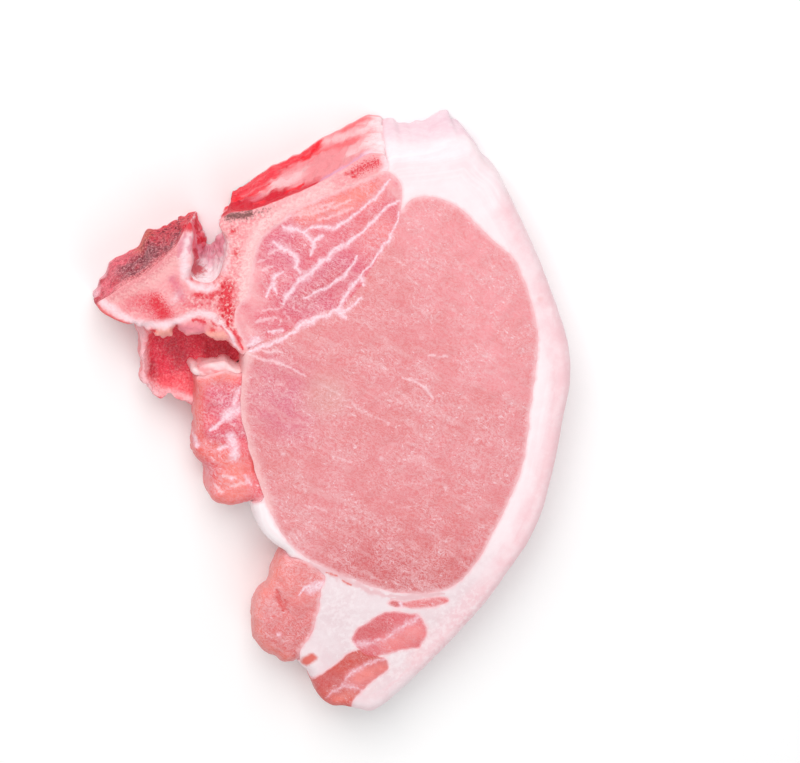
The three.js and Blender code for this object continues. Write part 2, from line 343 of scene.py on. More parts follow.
@dataclass
class Column:
    """A closed body over its own part of the plan.

    Attributes:
        outline: Plan points that a closed smooth curve goes through.
        level: Height of the upper face.
        crown: How far the middle of the upper face stands above its border.
        round_top: Radius of the upper edge where it is free.
        round_foot: Radius of the lower edge where it is free.
        bulge: How far a free wall swells out at mid height.
        rough: How far lumps move a free wall.
        rough_pitch: Size of those lumps.
        rings: Rows of faces up a wall.
        ripple: Height of the unevenness of the upper face.
        ripple_pitch: Distance between its crests.
        ragged: How far the outline wanders.
        sharp: Whether the outline's free edge needs no extra rows of points.
        tissue: What it is made of.
        paint: Strokes of each painted field.
        relief: Height that a painted field adds to the upper face.
        seed: Start of the random draws.
    """

    outline: tuple[Point, ...]
    level: float = THICKNESS
    crown: float = 0.4
    round_top: float = 1.0
    round_foot: float = 1.2
    bulge: float = 0.5
    rough: float = 0.12
    rough_pitch: float = 4.0
    rings: int = 10
    ripple: float = 0.1
    ripple_pitch: float = 5.0
    ragged: float = 0.0
    sharp: bool = False
    tissue: Tissue = Tissue.LEAN
    paint: Paint = field(default_factory=dict)
    relief: dict[str, float] = field(default_factory=dict)
    seed: int = 1

    CROWN_REACH = 7.0
    STEP_DOWN = 1.2
    FINE_RIPPLE = 0.4
    RAGGED_WAVES = ((50, 6.0, 1.0), (51, 2.2, 0.6))
    BULGE_POWER = 0.8
    ROUGH_EASE = 6.0

    def ring(self) -> np.ndarray:
        """Run the outline densely and counter-clockwise, with its wander.

        Returns:
            Plan points.
        """
        ring = smooth_run(self.outline, OUTLINE_STEP, closed=True)
        after = np.roll(ring, -1, axis=0)
        if np.sum(ring[:, 0] * after[:, 1] - after[:, 0] * ring[:, 1]) < 0.0:
            ring = ring[::-1]
        if self.ragged > 0.0:
            wander = sum(
                share * Ripple(self.seed + add, pitch)(ring) for add, pitch, share in self.RAGGED_WAVES
            )
            ring = ring + outward(ring) * (self.ragged * wander)[:, None]
        return ring

    def round_at(self, places: np.ndarray) -> np.ndarray:
        """Radius of the free upper edge near plan places."""
        return np.full(len(places), self.round_top)

    def upper(self, places: np.ndarray, from_border: np.ndarray, from_free: np.ndarray) -> np.ndarray:
        """Height of the upper face.

        Args:
            places: Plan places.
            from_border: Their distances to the border.
            from_free: Their distances to the free part of the border.

        Returns:
            One height for each place.
        """
        height = self.level + self.crown * (1.0 - np.exp(-from_border / self.CROWN_REACH))
        height += self.ripple * Ripple(self.seed, self.ripple_pitch)(places)
        fine = Ripple(self.seed + 1, self.FINE_RIPPLE * self.ripple_pitch)
        height += self.FINE_RIPPLE * self.ripple * fine(places)
        for name, rise in self.relief.items():
            height += rise * strokes_value(self.paint[name], places)
        radius = self.round_at(places)
        lack = np.clip(radius - from_free, 0.0, radius)
        return height - (radius - np.sqrt(np.maximum(radius**2 - lack**2, 0.0)))

    def lower(self, from_free: np.ndarray) -> np.ndarray:
        """Height of the lower face at distances from the free border."""
        lack = np.clip(self.round_foot - from_free, 0.0, self.round_foot)
        return self.round_foot - np.sqrt(self.round_foot**2 - lack**2)

    def wall_out(self, places: np.ndarray, share: np.ndarray) -> np.ndarray:
        """How far free wall points stand out.

        Args:
            places: Points of the straight wall.
            share: How far down the wall they are, from 0 to 1.

        Returns:
            One distance for each point.
        """
        swell = self.bulge * np.sin(math.pi * share) ** self.BULGE_POWER
        ease = np.minimum(1.0, self.ROUGH_EASE * share) * np.minimum(1.0, self.ROUGH_EASE * (1.0 - share))
        return swell + self.rough * ease * roughness_at(places, self.rough_pitch)

    def fields_at(self, places: np.ndarray, wall: np.ndarray) -> dict[str, np.ndarray]:
        """Values of each painted field, by its name, at points of the column."""
        return {name: strokes_value(strokes, places) for name, strokes in self.paint.items()}

    def build(self, share: Share) -> Shell:
        """Make the closed mesh of the column over its share of the plan.

        Args:
            share: The column's triangles and border.

        Returns:
            The mesh, with its fields.
        """
        flat, count = share.places, len(share.places)
        ends = flat[share.border]
        from_border = distance_to(flat, ends[:, 0], ends[:, 1])
        from_free = distance_to(flat, ends[share.free, 0], ends[share.free, 1])
        from_soft = distance_to(flat, ends[share.soft, 0], ends[share.soft, 1])
        top = np.column_stack((flat, self.upper(flat, from_border, from_free)))
        foot = np.column_stack((flat, self.lower(from_free)))

        edge = np.unique(share.border)
        slot = {int(point): i for i, point in enumerate(edge)}
        across = np.zeros((count, 2))
        freedom = np.zeros(count)
        way = ends[:, 1] - ends[:, 0]
        normal = np.stack((way[:, 1], -way[:, 0]), axis=1)
        for side in (0, 1):
            np.add.at(across, share.border[:, side], normal)
            np.maximum.at(freedom, share.border[:, side], share.free.astype(float))
        across /= np.maximum(np.linalg.norm(across, axis=1, keepdims=True), TINY)

        levels = np.arange(1, self.rings) / self.rings
        walls = [top[edge] * (1.0 - s) + foot[edge] * s for s in levels]
        wall = np.vstack(walls)
        down = np.repeat(levels, len(edge))
        out = self.wall_out(wall, down) * np.tile(freedom[edge], len(levels))
        wall[:, :2] += np.tile(across[edge], (len(levels), 1)) * out[:, None]

        places = np.vstack((top, foot, wall))
        faces = [tuple(row) for row in share.corners.tolist()]
        faces += [(a + count, c + count, b + count) for a, b, c in share.corners.tolist()]
        first, width = 2 * count, len(edge)
        for a, b in share.border.tolist():
            left = [a] + [first + i * width + slot[a] for i in range(self.rings - 1)] + [a + count]
            right = [b] + [first + i * width + slot[b] for i in range(self.rings - 1)] + [b + count]
            faces += [(r0, l0, l1, r1) for l0, l1, r0, r1 in zip(left, left[1:], right, right[1:])]

        tile = np.tile(edge, len(levels))
        numbers = np.concatenate((np.arange(count), np.arange(count), tile))
        on_wall = np.concatenate((np.zeros(2 * count), np.ones(len(wall))))
        fields = self.fields_at(places, on_wall)
        fields["from_soft"] = np.minimum(from_soft, FARTHEST)[numbers]
        fields["from_free"] = np.minimum(from_free, FARTHEST)[numbers]
        return Shell(places, faces, fields)


class Plan:
    """Triangles over the whole cut face, each owned by one column."""

    SEED = 5
    JITTER = 0.12
    ROW_RATIO = math.sqrt(0.75)

    def __init__(self, columns: Sequence[Column], bounds: dict[int, Column]) -> None:
        """Split the plan.

        Args:
            columns: The columns, those that keep what overlaps first.
            bounds: Column by number, with another column whose outline also limits it.
        """
        self.columns = list(columns)
        self.rings = [column.ring() for column in columns]
        points, edges = self.fixed_points()
        points = np.vstack((points, self.loose_points(points)))
        made = geometry.delaunay_2d_cdt([Vector(p) for p in points], edges, [], 0, PLAN_GAP, False)
        self.places = np.array([tuple(p) for p in made[0]])
        self.corners = np.array(made[2], dtype=int)
        self.owner = self.owners(bounds)

    def fixed_points(self) -> tuple[np.ndarray, list[tuple[int, int]]]:
        """Collect the points of outlines and thin strokes, and rows of points inside free edges.

        Returns:
            Plan points, and the outlines' edges as pairs of point numbers.
        """
        points, edges, total = [], [], 0
        for column, ring in zip(self.columns, self.rings):
            numbers = np.arange(len(ring)) + total
            edges += list(zip(numbers.tolist(), np.roll(numbers, -1).tolist()))
            rows = [] if column.sharp else [ring - outward(ring) * inset for inset in ROW_INSETS]
            thin = [stroke for strokes in column.paint.values() for stroke in strokes if stroke.thin]
            lines = [stroke.row(STROKE_STEP)[:, :2] for stroke in thin]
            points += [ring, *rows, *lines]
            total += sum(len(part) for part in (ring, *rows, *lines))
        return np.vstack(points), edges

    def loose_points(self, fixed: np.ndarray) -> np.ndarray:
        """Make a jittered grid of points clear of the fixed ones.

        Args:
            fixed: Points of outlines and strokes.

        Returns:
            Plan points.
        """
        low, high = fixed.min(axis=0), fixed.max(axis=0)
        pitch = np.array((GRID_STEP, GRID_STEP * self.ROW_RATIO))
        columns, rows = np.ceil((high - low) / pitch).astype(int)
        across, up = np.meshgrid(np.arange(columns), np.arange(rows))
        grid = np.stack((across + 0.5 * (up % 2), up), axis=-1).reshape(-1, 2) * pitch + low
        draw = np.random.RandomState(self.SEED)
        grid += draw.uniform(-self.JITTER, self.JITTER, grid.shape) * GRID_STEP
        covered = np.any([inside(grid, ring) for ring in self.rings], axis=0)
        tree = kdtree.KDTree(len(fixed))
        for number, (x, y) in enumerate(fixed):
            tree.insert((x, y, 0.0), number)
        tree.balance()
        clear = [tree.find((x, y, 0.0))[2] > NEAR_POINT for x, y in grid[covered]]
        return grid[covered][clear]

    def owners(self, bounds: dict[int, Column]) -> np.ndarray:
        """Give each triangle to a column.

        Args:
            bounds: Column by number, with another column whose outline also limits it.

        Returns:
            Number of the column that owns each triangle, or -1.
        """
        middles = self.places[self.corners].mean(axis=1)
        owner = np.full(len(middles), -1)
        for number, ring in enumerate(self.rings):
            held = (owner < 0) & inside(middles, ring)
            if number in bounds:
                held &= inside(middles, bounds[number].ring())
            owner[held] = number
        return owner

    def share(self, column: Column) -> Share:
        """Cut out the part of one column, without loose scraps.

        Args:
            column: One of the plan's columns.

        Returns:
            Its triangles and border.
        """
        number = self.columns.index(column)
        mine = self.largest_patch(np.flatnonzero(self.owner == number))
        keep = np.zeros(len(self.corners), dtype=bool)
        keep[mine] = True
        owner = np.where(keep | (self.owner != number), self.owner, -1)
        halves = np.vstack([self.corners[:, (i, (i + 1) % 3)] for i in range(3)])
        holder = np.tile(np.arange(len(self.corners)), 3)
        keys = halves.min(axis=1) * len(self.places) + halves.max(axis=1)
        order = np.argsort(keys, kind="stable")
        paired = np.flatnonzero(keys[order][1:] == keys[order][:-1])
        beside = np.full(len(halves), -1)
        beside[order[paired]] = owner[holder[order[paired + 1]]]
        beside[order[paired + 1]] = owner[holder[order[paired]]]
        edge = keep[holder] & (beside != number)
        levels = np.array([other.level for other in self.columns] + [-1.0])
        free = levels[beside[edge]] < column.level - Column.STEP_DOWN
        kinds = np.array([other.tissue.value for other in self.columns] + [column.tissue.value])
        soft = ~free & (kinds[beside[edge]] != column.tissue.value)
        used, renumbered = np.unique(self.corners[mine], return_inverse=True)
        border = np.searchsorted(used, halves[edge])
        return Share(self.places[used], renumbered.reshape(-1, 3), border, free, soft)

    def largest_patch(self, mine: np.ndarray) -> np.ndarray:
        """Find the largest set of triangles that hang together by edges.

        Args:
            mine: Numbers of a column's triangles.

        Returns:
            Numbers of the triangles in that set.
        """
        by_edge: dict[tuple[int, int], list[int]] = {}
        for number in mine.tolist():
            a, b, c = sorted(self.corners[number].tolist())
            for pair in ((a, b), (b, c), (a, c)):
                by_edge.setdefault(pair, []).append(number)
        beside: dict[int, list[int]] = {number: [] for number in mine.tolist()}
        for pair in by_edge.values():
            if len(pair) == 2:
                beside[pair[0]].append(pair[1])
                beside[pair[1]].append(pair[0])
        left, best = set(beside), []
        while left:
            reached, waiting = [], [left.pop()]
            while waiting:
                number = waiting.pop()
                reached.append(number)
                new = [other for other in beside[number] if other in left]
                left.difference_update(new)
                waiting += new
            best = max(best, reached, key=len)
        return np.array(sorted(best))


@dataclass(frozen=True)
class Lean:
    """A place round which the walls lean as they go down.

    Attributes:
        place: Plan point.
        reach: Distance at which the lean has gone.
        shift: Plan shift of the lower face.
        crumble: How far crumbs move the lower edge.
    """

    place: Point
    reach: float
    shift: Point
    crumble: float = 0.0

    CRUMB_SEED, CRUMB_PITCH = 80, 2.6
    PULL = 0.5
    FADE = 1.5

    def away(self, places: np.ndarray) -> np.ndarray:
        """Distances of plan places from the lean's own place."""
        return np.linalg.norm(places - np.array(self.place), axis=1)


LEANS = (
    # Spine, from the canal to its tip
    Lean((-26.2, 52.5), 6.0, (3.0, -1.8), 0.1),
    Lean((-24.8, 53.3), 6.0, (1.8, 1.3), 0.2),
    Lean((-22.6, 53.7), 7.0, (1.6, 2.1), 0.3),
    Lean((-20.2, 54), 8.0, (1.7, 3.3), 0.3),
    Lean((-17.3, 54.5), 9.0, (1.8, 4.7), 0.2),
    Lean((-14.2, 55.4), 10.0, (1.8, 5.5), 0.2),
    Lean((-8.2, 57.7), 10.0, (2.0, 5.9), 0.2),
    Lean((-3.8, 59.7), 10.0, (2.0, 6.9), 0.1),
    Lean((1.5, 62.5), 10.0, (2.1, 6.7), 0.1),
    Lean((7.1, 65.9), 10.0, (2.0, 6.1), 0.1),
    Lean((11.4, 66.4), 9.0, (1.6, 5.9), 0.1),
    # End of the back fat
    Lean((14.5, 66.6), 5.0, (1.3, 5.0)),
    Lean((17.5, 67), 5.0, (0.9, 3.6)),
    Lean((22.5, 67), 7.0, (-0.3, 4.3)),
    Lean((28.3, 67.3), 7.0, (0.4, 6.3)),
    Lean((33.2, 68), 6.0, (-1.3, 3.2)),
    # Vertebral body, from its outer tip to the horn
    Lean((-56.8, 32.3), 6.0, (-0.2, -2.0), 0.1),
    Lean((-54.6, 33.4), 6.0, (-1.1, 0.1), 0.2),
    Lean((-50.2, 36.3), 6.0, (-2.0, 1.9), 0.25),
    Lean((-47.8, 37.5), 6.0, (-0.9, 2.4), 0.3),
    Lean((-45.4, 38.7), 6.0, (-0.6, 2.4), 0.3),
    Lean((-43.7, 40.1), 5.0, (-0.6, 5.4), 0.3),
    Lean((-41, 42.4), 6.0, (0.3, 3.4), 0.4),
    Lean((-38.2, 45.2), 6.0, (0.3, 1.9), 0.35),
    Lean((-36.6, 48.2), 5.0, (0.4, 0.0), 0.35),
    Lean((-35.4, 50.4), 4.0, (1.2, -1.2), 0.35),
    # Horn and canal, round its floor to the arch
    Lean((-34.4, 50.9), 4.0, (3.2, -2.0), 0.35),
    Lean((-34, 48.1), 5.0, (3.8, -3.0), 0.15),
    Lean((-34.5, 44.4), 6.0, (5.0, -1.1)),
    Lean((-34.2, 41.5), 6.0, (5.0, 0.8)),
    Lean((-34.7, 39.5), 7.0, (5.3, 2.3)),
    Lean((-35.1, 38), 7.0, (5.9, 3.4)),
    Lean((-33.2, 35.8), 7.0, (4.3, 5.4)),
    Lean((-31.8, 35.4), 7.0, (3.1, 5.8)),
    Lean((-30.1, 35.3), 7.0, (1.6, 5.9)),
    Lean((-28.4, 36.4), 6.0, (0.1, 4.9)),
    Lean((-27.1, 38.8), 5.0, (-0.9, 2.6)),
    Lean((-26.6, 40.5), 5.0, (-1.2, 1.0)),
    Lean((-26.1, 42.7), 5.0, (-1.3, -0.8)),
    Lean((-26.1, 46.7), 5.0, (0.5, -1.5)),
    Lean((-27, 48.7), 5.0, (2.1, -1.9)),
    Lean((-27.7, 50.4), 6.0, (2.6, -1.8)),
    # Undercut sides of the loose pieces
    Lean((-29, 16), 8.0, (1.0, -5.0)),
    Lean((-47, 14), 14.0, (1.5, -3.0)),
    Lean((-34, 0), 14.0, (2.2, -2.0)),
    Lean((-17, -40), 14.0, (2.5, -4.5)),
    Lean((-20, -51), 12.0, (2.0, -3.0)),
)


def leaned(places: np.ndarray) -> np.ndarray:
    """Lean the walls of the straight-sided steak and thin its tail.

    Args:
        places: Points of the straight-sided steak, in millimetres.

    Returns:
        Points of the finished steak, in metres.
    """
    flat = places[:, :2]
    away = np.array([lean.away(flat) for lean in LEANS])
    reach = np.array([lean.reach for lean in LEANS])[:, None]
    weights = np.clip(1.0 - away / reach, 0.0, 1.0) ** Lean.FADE
    held = np.minimum(weights.sum(axis=0), 1.0)
    pulls = weights / (away + Lean.PULL) ** 2
    pulls *= held / np.maximum(pulls.sum(axis=0), TINY)
    shift = pulls.T @ np.array([lean.shift for lean in LEANS])
    crumble = pulls.T @ np.array([lean.crumble for lean in LEANS])
    for axis in (0, 1):
        shift[:, axis] += crumble * Ripple(Lean.CRUMB_SEED + axis, Lean.CRUMB_PITCH)(flat)
    down = 1.0 - places[:, 2] / THICKNESS
    plan = flat + shift * down[:, None] + PLAN_SHIFT
    share = 1.0 - TAIL_DROP / THICKNESS * smoothstep(-places[:, 1], TAIL_FROM, TAIL_END)
    return np.column_stack((plan, places[:, 2] * share)) * MM


@dataclass(frozen=True)
class Speckle:
    """How a noise texture is made up.

    Attributes:
        scale: Lumps in a millimetre, or in a unit of an effect's own fineness.
        detail: How many finer layers it has.
        rough: How strong those layers are.
        length: How far it is drawn out.
        turn: Plan direction in which it is drawn out.
    """

    scale: float
    detail: float = 2.0
    rough: float = 0.6
    length: float = 1.0
    turn: float = 0.0


class Graph:
    """Short calls for making and joining the nodes of one tree."""

    def __init__(self, tree: bpy.types.NodeTree) -> None:
        """Hold the tree that nodes are made in."""
        self.tree = tree

    def node(self, kind: str, inputs: dict[Union[str, int], Input], **settings: object) -> bpy.types.Node:
        """Make a node.

        Args:
            kind: Type name of the node.
            inputs: Socket name or number, with a value or the socket that feeds it.
            settings: The node's own settings.

        Returns:
            The new node.
        """
        made = self.tree.nodes.new(kind)
        for name, value in settings.items():
            setattr(made, name, value)
        for name, value in inputs.items():
            if isinstance(value, bpy.types.NodeSocket):
                self.tree.links.new(value, made.inputs[name])
            else:
                made.inputs[name].default_value = value
        return made

    def math(self, operation: str, first: Input, second: Input) -> Socket:
        """Work out one value from two."""
        return self.node("ShaderNodeMath", {0: first, 1: second}, operation=operation).outputs[0]

    def plus(self, first: Input, second: Input) -> Socket:
        """Add two values."""
        return self.math("ADD", first, second)

    def minus(self, first: Input, second: Input) -> Socket:
        """Take the second value from the first."""
        return self.math("SUBTRACT", first, second)

    def times(self, first: Input, second: Input) -> Socket:
        """Multiply two values."""
        return self.math("MULTIPLY", first, second)

    def shared(self, first: Input, second: Input, share: float) -> Socket:
        """Blend two values, with a fixed share of the second."""
        return self.plus(self.times(first, 1.0 - share), self.times(second, share))

    def vector(self, operation: str, first: Input, second: Input) -> Socket:
        """Work out one vector from two."""
        return self.node("ShaderNodeVectorMath", {0: first, 1: second}, operation=operation).outputs[0]

    def step(self, value: Input, low: Input, high: Input) -> Socket:
        """Ease a value from 0 at low to 1 at high."""
        inputs = {"Value": value, "From Min": low, "From Max": high}
        return self.node("ShaderNodeMapRange", inputs, interpolation_type="SMOOTHSTEP").outputs[0]

    def between(self, value: Input, low: Input, high: Input) -> Socket:
        """Go from low to high as the value goes from 0 to 1."""
        return self.node("ShaderNodeMapRange", {"Value": value, "To Min": low, "To Max": high}).outputs[0]

    def mix(self, share: Input, first: Input, second: Input) -> Socket:
        """Blend two colours, with a share of the second."""
        first, second = ((*c[:3], 1.0) if isinstance(c, tuple) else c for c in (first, second))
        return self.node("ShaderNodeMix", {0: share, 6: first, 7: second}, data_type="RGBA").outputs[2]

    def drawn(self, where: Input, turn: float, length: float) -> Socket:
        """Place noise so that it is drawn out along one plan direction."""
        inputs = {"Vector": where, "Rotation": (0.0, 0.0, turn), "Scale": (length, 1.0, 1.0)}
        return self.node("ShaderNodeMapping", inputs, vector_type="TEXTURE").outputs[0]

    def texture(self, where: Input, speckle: Speckle, fineness: Input = 1.0) -> Sockets:
        """Make a noise texture.

        Args:
            where: Place of the noise.
            speckle: How it is made up.
            fineness: What its scale is multiplied by.

        Returns:
            The texture's outputs.
        """
        if speckle.length != 1.0:
            where = self.drawn(where, speckle.turn, speckle.length)
        scale = speckle.scale if fineness == 1.0 else self.times(fineness, speckle.scale)
        inputs = {"Vector": where, "Scale": scale, "Detail": speckle.detail, "Roughness": speckle.rough}
        return self.node("ShaderNodeTexNoise", inputs).outputs

    def noise(self, where: Input, speckle: Speckle, fineness: Input = 1.0) -> Socket:
        """Make a noise texture of plain values: see texture."""
        return self.texture(where, speckle, fineness)[0]

    def attribute(self, name: str) -> Socket:
        """Read a field painted on the mesh."""
        return self.node("ShaderNodeAttribute", {}, attribute_name=name).outputs["Fac"]

    def millimetres(self) -> Socket:
        """Read the place on the object in millimetres."""
        place = self.node("ShaderNodeTexCoord", {}).outputs["Object"]
        return self.vector("MULTIPLY", place, (1 / MM,) * 3)


class Effect:
    """A shader node group with named sockets, made once and placed in many materials."""

    name = ""
    inputs: dict[str, str] = {}
    outputs: tuple[str, ...] = ()

    @classmethod
    def tree(cls) -> bpy.types.NodeTree:
        """Find the group's tree, or make it at its first use.

        Returns:
            The tree.
        """
        if cls.name in bpy.data.node_groups:
            return bpy.data.node_groups[cls.name]
        made = bpy.data.node_groups.new(cls.name, "ShaderNodeTree")
        for socket, kind in cls.inputs.items():
            made.interface.new_socket(socket, in_out="INPUT", socket_type=f"NodeSocket{kind}")
        for socket in cls.outputs:
            made.interface.new_socket(socket, in_out="OUTPUT", socket_type="NodeSocketFloat")
        graph = Graph(made)
        given = graph.node("NodeGroupInput", {}).outputs
        graph.node("NodeGroupOutput", cls.nodes(graph, given))
        return made

    @classmethod
    def nodes(cls, graph: Graph, given: Sockets) -> dict[str, Socket]:
        """Make the group's nodes, and give the socket that feeds each output."""
        raise NotImplementedError

    @classmethod
    def place(cls, graph: Graph, **inputs: Input) -> Sockets:
        """Place the group in a material, with its inputs by name."""
        named = {name.replace("_", " ").capitalize(): value for name, value in inputs.items()}
        return graph.node("ShaderNodeGroup", named, node_tree=cls.tree()).outputs


class LeanGrain(Effect):
    """Cut ends of muscle fibres: fine curled specks in softer blotches, with painted highlights of moist
    glints.
    """

    name = "lean_grain"
    inputs = {"Place": "Vector", "Fineness": "Float"}
    outputs = ("Grain", "Blotch", "Glint", "Height")

    LIE = -0.55
    SWIRL = Speckle(0.25, rough=0.5)
    SWIRL_MIDDLE = (0.5, 0.5, 0.5)
    SWIRL_REACH = (3.0, 3.0, 0.0)
    WORM = Speckle(1.0, length=1.6, turn=LIE)
    DUST = Speckle(1.6)
    DUST_SHARE = 0.5
    STREAK = Speckle(0.5, 3.0, length=6.0, turn=LIE)
    STREAK_EDGE = (0.48, 0.72)
    STREAK_LIGHT = 0.4
    DENSE = Speckle(0.16, 3.0)
    DENSE_EDGE = (0.38, 0.6)
    GRAIN_EDGE = (0.37, 0.63)
    THIN_GRAIN = 0.58
    CLOUD = Speckle(0.12, 5.0, 0.7)
    CLOUD_STREAK = 0.4
    BLOTCH_EDGE = (0.4, 0.6)
    # Pale specks painted in as highlights of moist glints, and how much they cluster where the grain is
    # dense
    PAINTED_HIGHLIGHT_NOISE = Speckle(0.75, 3.0, 0.7, 1.8, LIE)
    PAINTED_HIGHLIGHT_CLUSTER = 0.09
    PAINTED_HIGHLIGHT_EDGE = (0.66, 0.76)

    @classmethod
    def nodes(cls, graph: Graph, given: Sockets) -> dict[str, Socket]:
        """Make the group's nodes.

        Args:
            graph: Tree of the group.
            given: Place and fineness.

        Returns:
            Grain, blotch, painted highlight and height.
        """
        place, fineness = given["Place"], given["Fineness"]
        swirl = graph.vector("SUBTRACT", graph.texture(place, cls.SWIRL)["Color"], cls.SWIRL_MIDDLE)
        bent = graph.vector("ADD", place, graph.vector("MULTIPLY", swirl, cls.SWIRL_REACH))
        worm = graph.noise(bent, cls.WORM, fineness)
        blend = graph.shared(worm, graph.noise(place, cls.DUST, fineness), cls.DUST_SHARE)
        streak = graph.noise(bent, cls.STREAK)
        dense = graph.step(graph.noise(bent, cls.DENSE), *cls.DENSE_EDGE)
        fine = graph.times(graph.step(blend, *cls.GRAIN_EDGE), graph.between(dense, cls.THIN_GRAIN, 1.0))
        grain = graph.plus(fine, graph.times(graph.step(streak, *cls.STREAK_EDGE), cls.STREAK_LIGHT))
        clouds = graph.shared(graph.noise(place, cls.CLOUD), streak, cls.CLOUD_STREAK)
        # Painted highlights: pale specks that stand for moist glints
        painted_highlight = graph.plus(graph.noise(bent, cls.PAINTED_HIGHLIGHT_NOISE, fineness), graph.times(dense, cls.PAINTED_HIGHLIGHT_CLUSTER))
        return {
            "Grain": grain,
            "Blotch": graph.step(clouds, *cls.BLOTCH_EDGE),
            "Glint": graph.step(painted_highlight, *cls.PAINTED_HIGHLIGHT_EDGE),
            "Height": blend,
        }


class RaggedMask(Effect):
    """A painted field turned into a mask with a wandering edge."""

    name = "ragged_mask"
    inputs = {
        "Place": "Vector",
        "Field": "Float",
        "Level": "Float",
        "Softness": "Float",
        "Raggedness": "Float",
        "Fineness": "Float",
    }
    outputs = ("Mask",)

    WANDER = Speckle(1.0, 3.0)
    WANDER_MIDDLE = 0.5
    PRESENT = (0.0, 0.04)

    @classmethod
    def nodes(cls, graph: Graph, given: Sockets) -> dict[str, Socket]:
        """Make the group's nodes.

        Args:
            graph: Tree of the group.
            given: Place, field, and how the edge runs.

        Returns:
            The mask.
        """
        noise_value = graph.noise(given["Place"], cls.WANDER, given["Fineness"])
        wander = graph.times(graph.minus(noise_value, cls.WANDER_MIDDLE), given["Raggedness"])
        low = graph.minus(given["Level"], given["Softness"])
        high = graph.plus(given["Level"], given["Softness"])
        mask = graph.step(graph.plus(given["Field"], wander), low, high)
        return {"Mask": graph.times(mask, graph.step(given["Field"], *cls.PRESENT))}


class FatLayers(Effect):
    """Faint layers of fat that follow the rim, with soft clouds and a curdled surface."""

    name = "fat_layers"
    inputs = {"Place": "Vector", "From rim": "Float", "Pitch": "Float"}
    outputs = ("Streak", "Cloud", "Height")

    SLOW = Speckle(0.08, rough=0.5)
    SLOW_REACH = 1.6
    THIN = (0.05, 0.05, 0.05)
    LAYERED = Speckle(1.0, 3.0, 0.65)
    STREAK_EDGE = (0.35, 0.65)
    NEAR_RIM = (9.0, 4.0)
    FAR_STREAK = 0.2
    CLOUD = Speckle(0.14, 6.0, 0.68)
    CLOUD_EDGE = (0.34, 0.66)
    CURD = Speckle(1.1, 3.0)
    CURD_SHARE = 0.3

    @classmethod
    def nodes(cls, graph: Graph, given: Sockets) -> dict[str, Socket]:
        """Make the group's nodes.

        Args:
            graph: Tree of the group.
            given: Place, distance from the rim and pitch of the layers.

        Returns:
            Streak, cloud and height.
        """
        place, from_rim = given["Place"], given["From rim"]
        phase = graph.plus(from_rim, graph.times(graph.noise(place, cls.SLOW), cls.SLOW_REACH))
        count = graph.math("DIVIDE", phase, given["Pitch"])
        line = graph.node("ShaderNodeCombineXYZ", {0: count}).outputs[0]
        where = graph.vector("ADD", line, graph.vector("MULTIPLY", place, cls.THIN))
        layered = graph.noise(where, cls.LAYERED)
        near = graph.between(graph.step(from_rim, *cls.NEAR_RIM), cls.FAR_STREAK, 1.0)
        return {
            "Streak": graph.times(graph.step(layered, *cls.STREAK_EDGE), near),
            "Cloud": graph.step(graph.noise(place, cls.CLOUD), *cls.CLOUD_EDGE),
            "Height": graph.shared(layered, graph.noise(place, cls.CURD), cls.CURD_SHARE),
        }


class SpongyBone(Effect):
    """Open cells of sawn bone, with grit, clumps of it and sand."""

    name = "spongy_bone"
    inputs = {"Place": "Vector", "Fineness": "Float"}
    outputs = ("Cell", "Grit", "Clump", "Sand")

    SHIFT = Speckle(0.9, rough=0.5)
    SHIFT_REACH = (1.1, 1.1, 1.1)
    CELL_EDGE = (0.46, 0.2)
    GRIT = Speckle(1.7, 3.0)
    GRIT_EDGE = (0.3, 0.7)
    CLUMP = Speckle(0.45, rough=0.5)
    CLUMP_EDGE = (0.35, 0.62)
    SAND = Speckle(2.6)
    SAND_EDGE = (0.32, 0.68)

    @classmethod
    def nodes(cls, graph: Graph, given: Sockets) -> dict[str, Socket]:
        """Make the group's nodes.

        Args:
            graph: Tree of the group.
            given: Place and fineness.

        Returns:
            Cell, grit, clump and sand.
        """
        place, fineness = given["Place"], given["Fineness"]
        shift = graph.vector("MULTIPLY", graph.texture(place, cls.SHIFT)["Color"], cls.SHIFT_REACH)
        inputs = {"Vector": graph.vector("ADD", place, shift), "Scale": fineness}
        cells = graph.node("ShaderNodeTexVoronoi", inputs).outputs["Distance"]
        return {
            "Cell": graph.step(cells, *cls.CELL_EDGE),
            "Grit": graph.step(graph.noise(place, cls.GRIT, fineness), *cls.GRIT_EDGE),
            "Clump": graph.step(graph.noise(place, cls.CLUMP), *cls.CLUMP_EDGE),
            "Sand": graph.step(graph.noise(place, cls.SAND, fineness), *cls.SAND_EDGE),
        }


@dataclass(frozen=True)
class Layer:
    """A tint that a finish shows where its piece has a painted field.

    Attributes:
        name: The field's name.
        colour: Colour of the tint.
        amount: How much of the tint covers what lies under it.
        level: Field value at the middle of the tint's edge.
        softness: Field range over which the edge fades.
        ragged: How far noise moves the edge, in field values.
        fineness: How fine that noise is.
        drawn: How far that noise is drawn out along the spine.
    """

    name: str
    colour: Colour
    amount: float = 1.0
    level: float = 0.45
    softness: float = 0.15
    ragged: float = 0.35
    fineness: float = 0.8
    drawn: float = 1.0

    SPINE_TURN = 0.33

    def over(self, graph: Graph, place: Socket, colour: Input) -> Socket:
        """Lay the tint over a colour.

        Args:
            graph: Tree of the material.
            place: Place on the object, in millimetres.
            colour: Colour under the tint.

        Returns:
            The tinted colour.
        """
        mask = RaggedMask.place(
            graph,
            place=place if self.drawn == 1.0 else graph.drawn(place, self.SPINE_TURN, self.drawn),
            field=graph.attribute(self.name),
            level=self.level,
            softness=self.softness,
            raggedness=self.ragged,
            fineness=self.fineness,
        )[0]
        return graph.mix(graph.times(mask, self.amount), colour, self.colour)


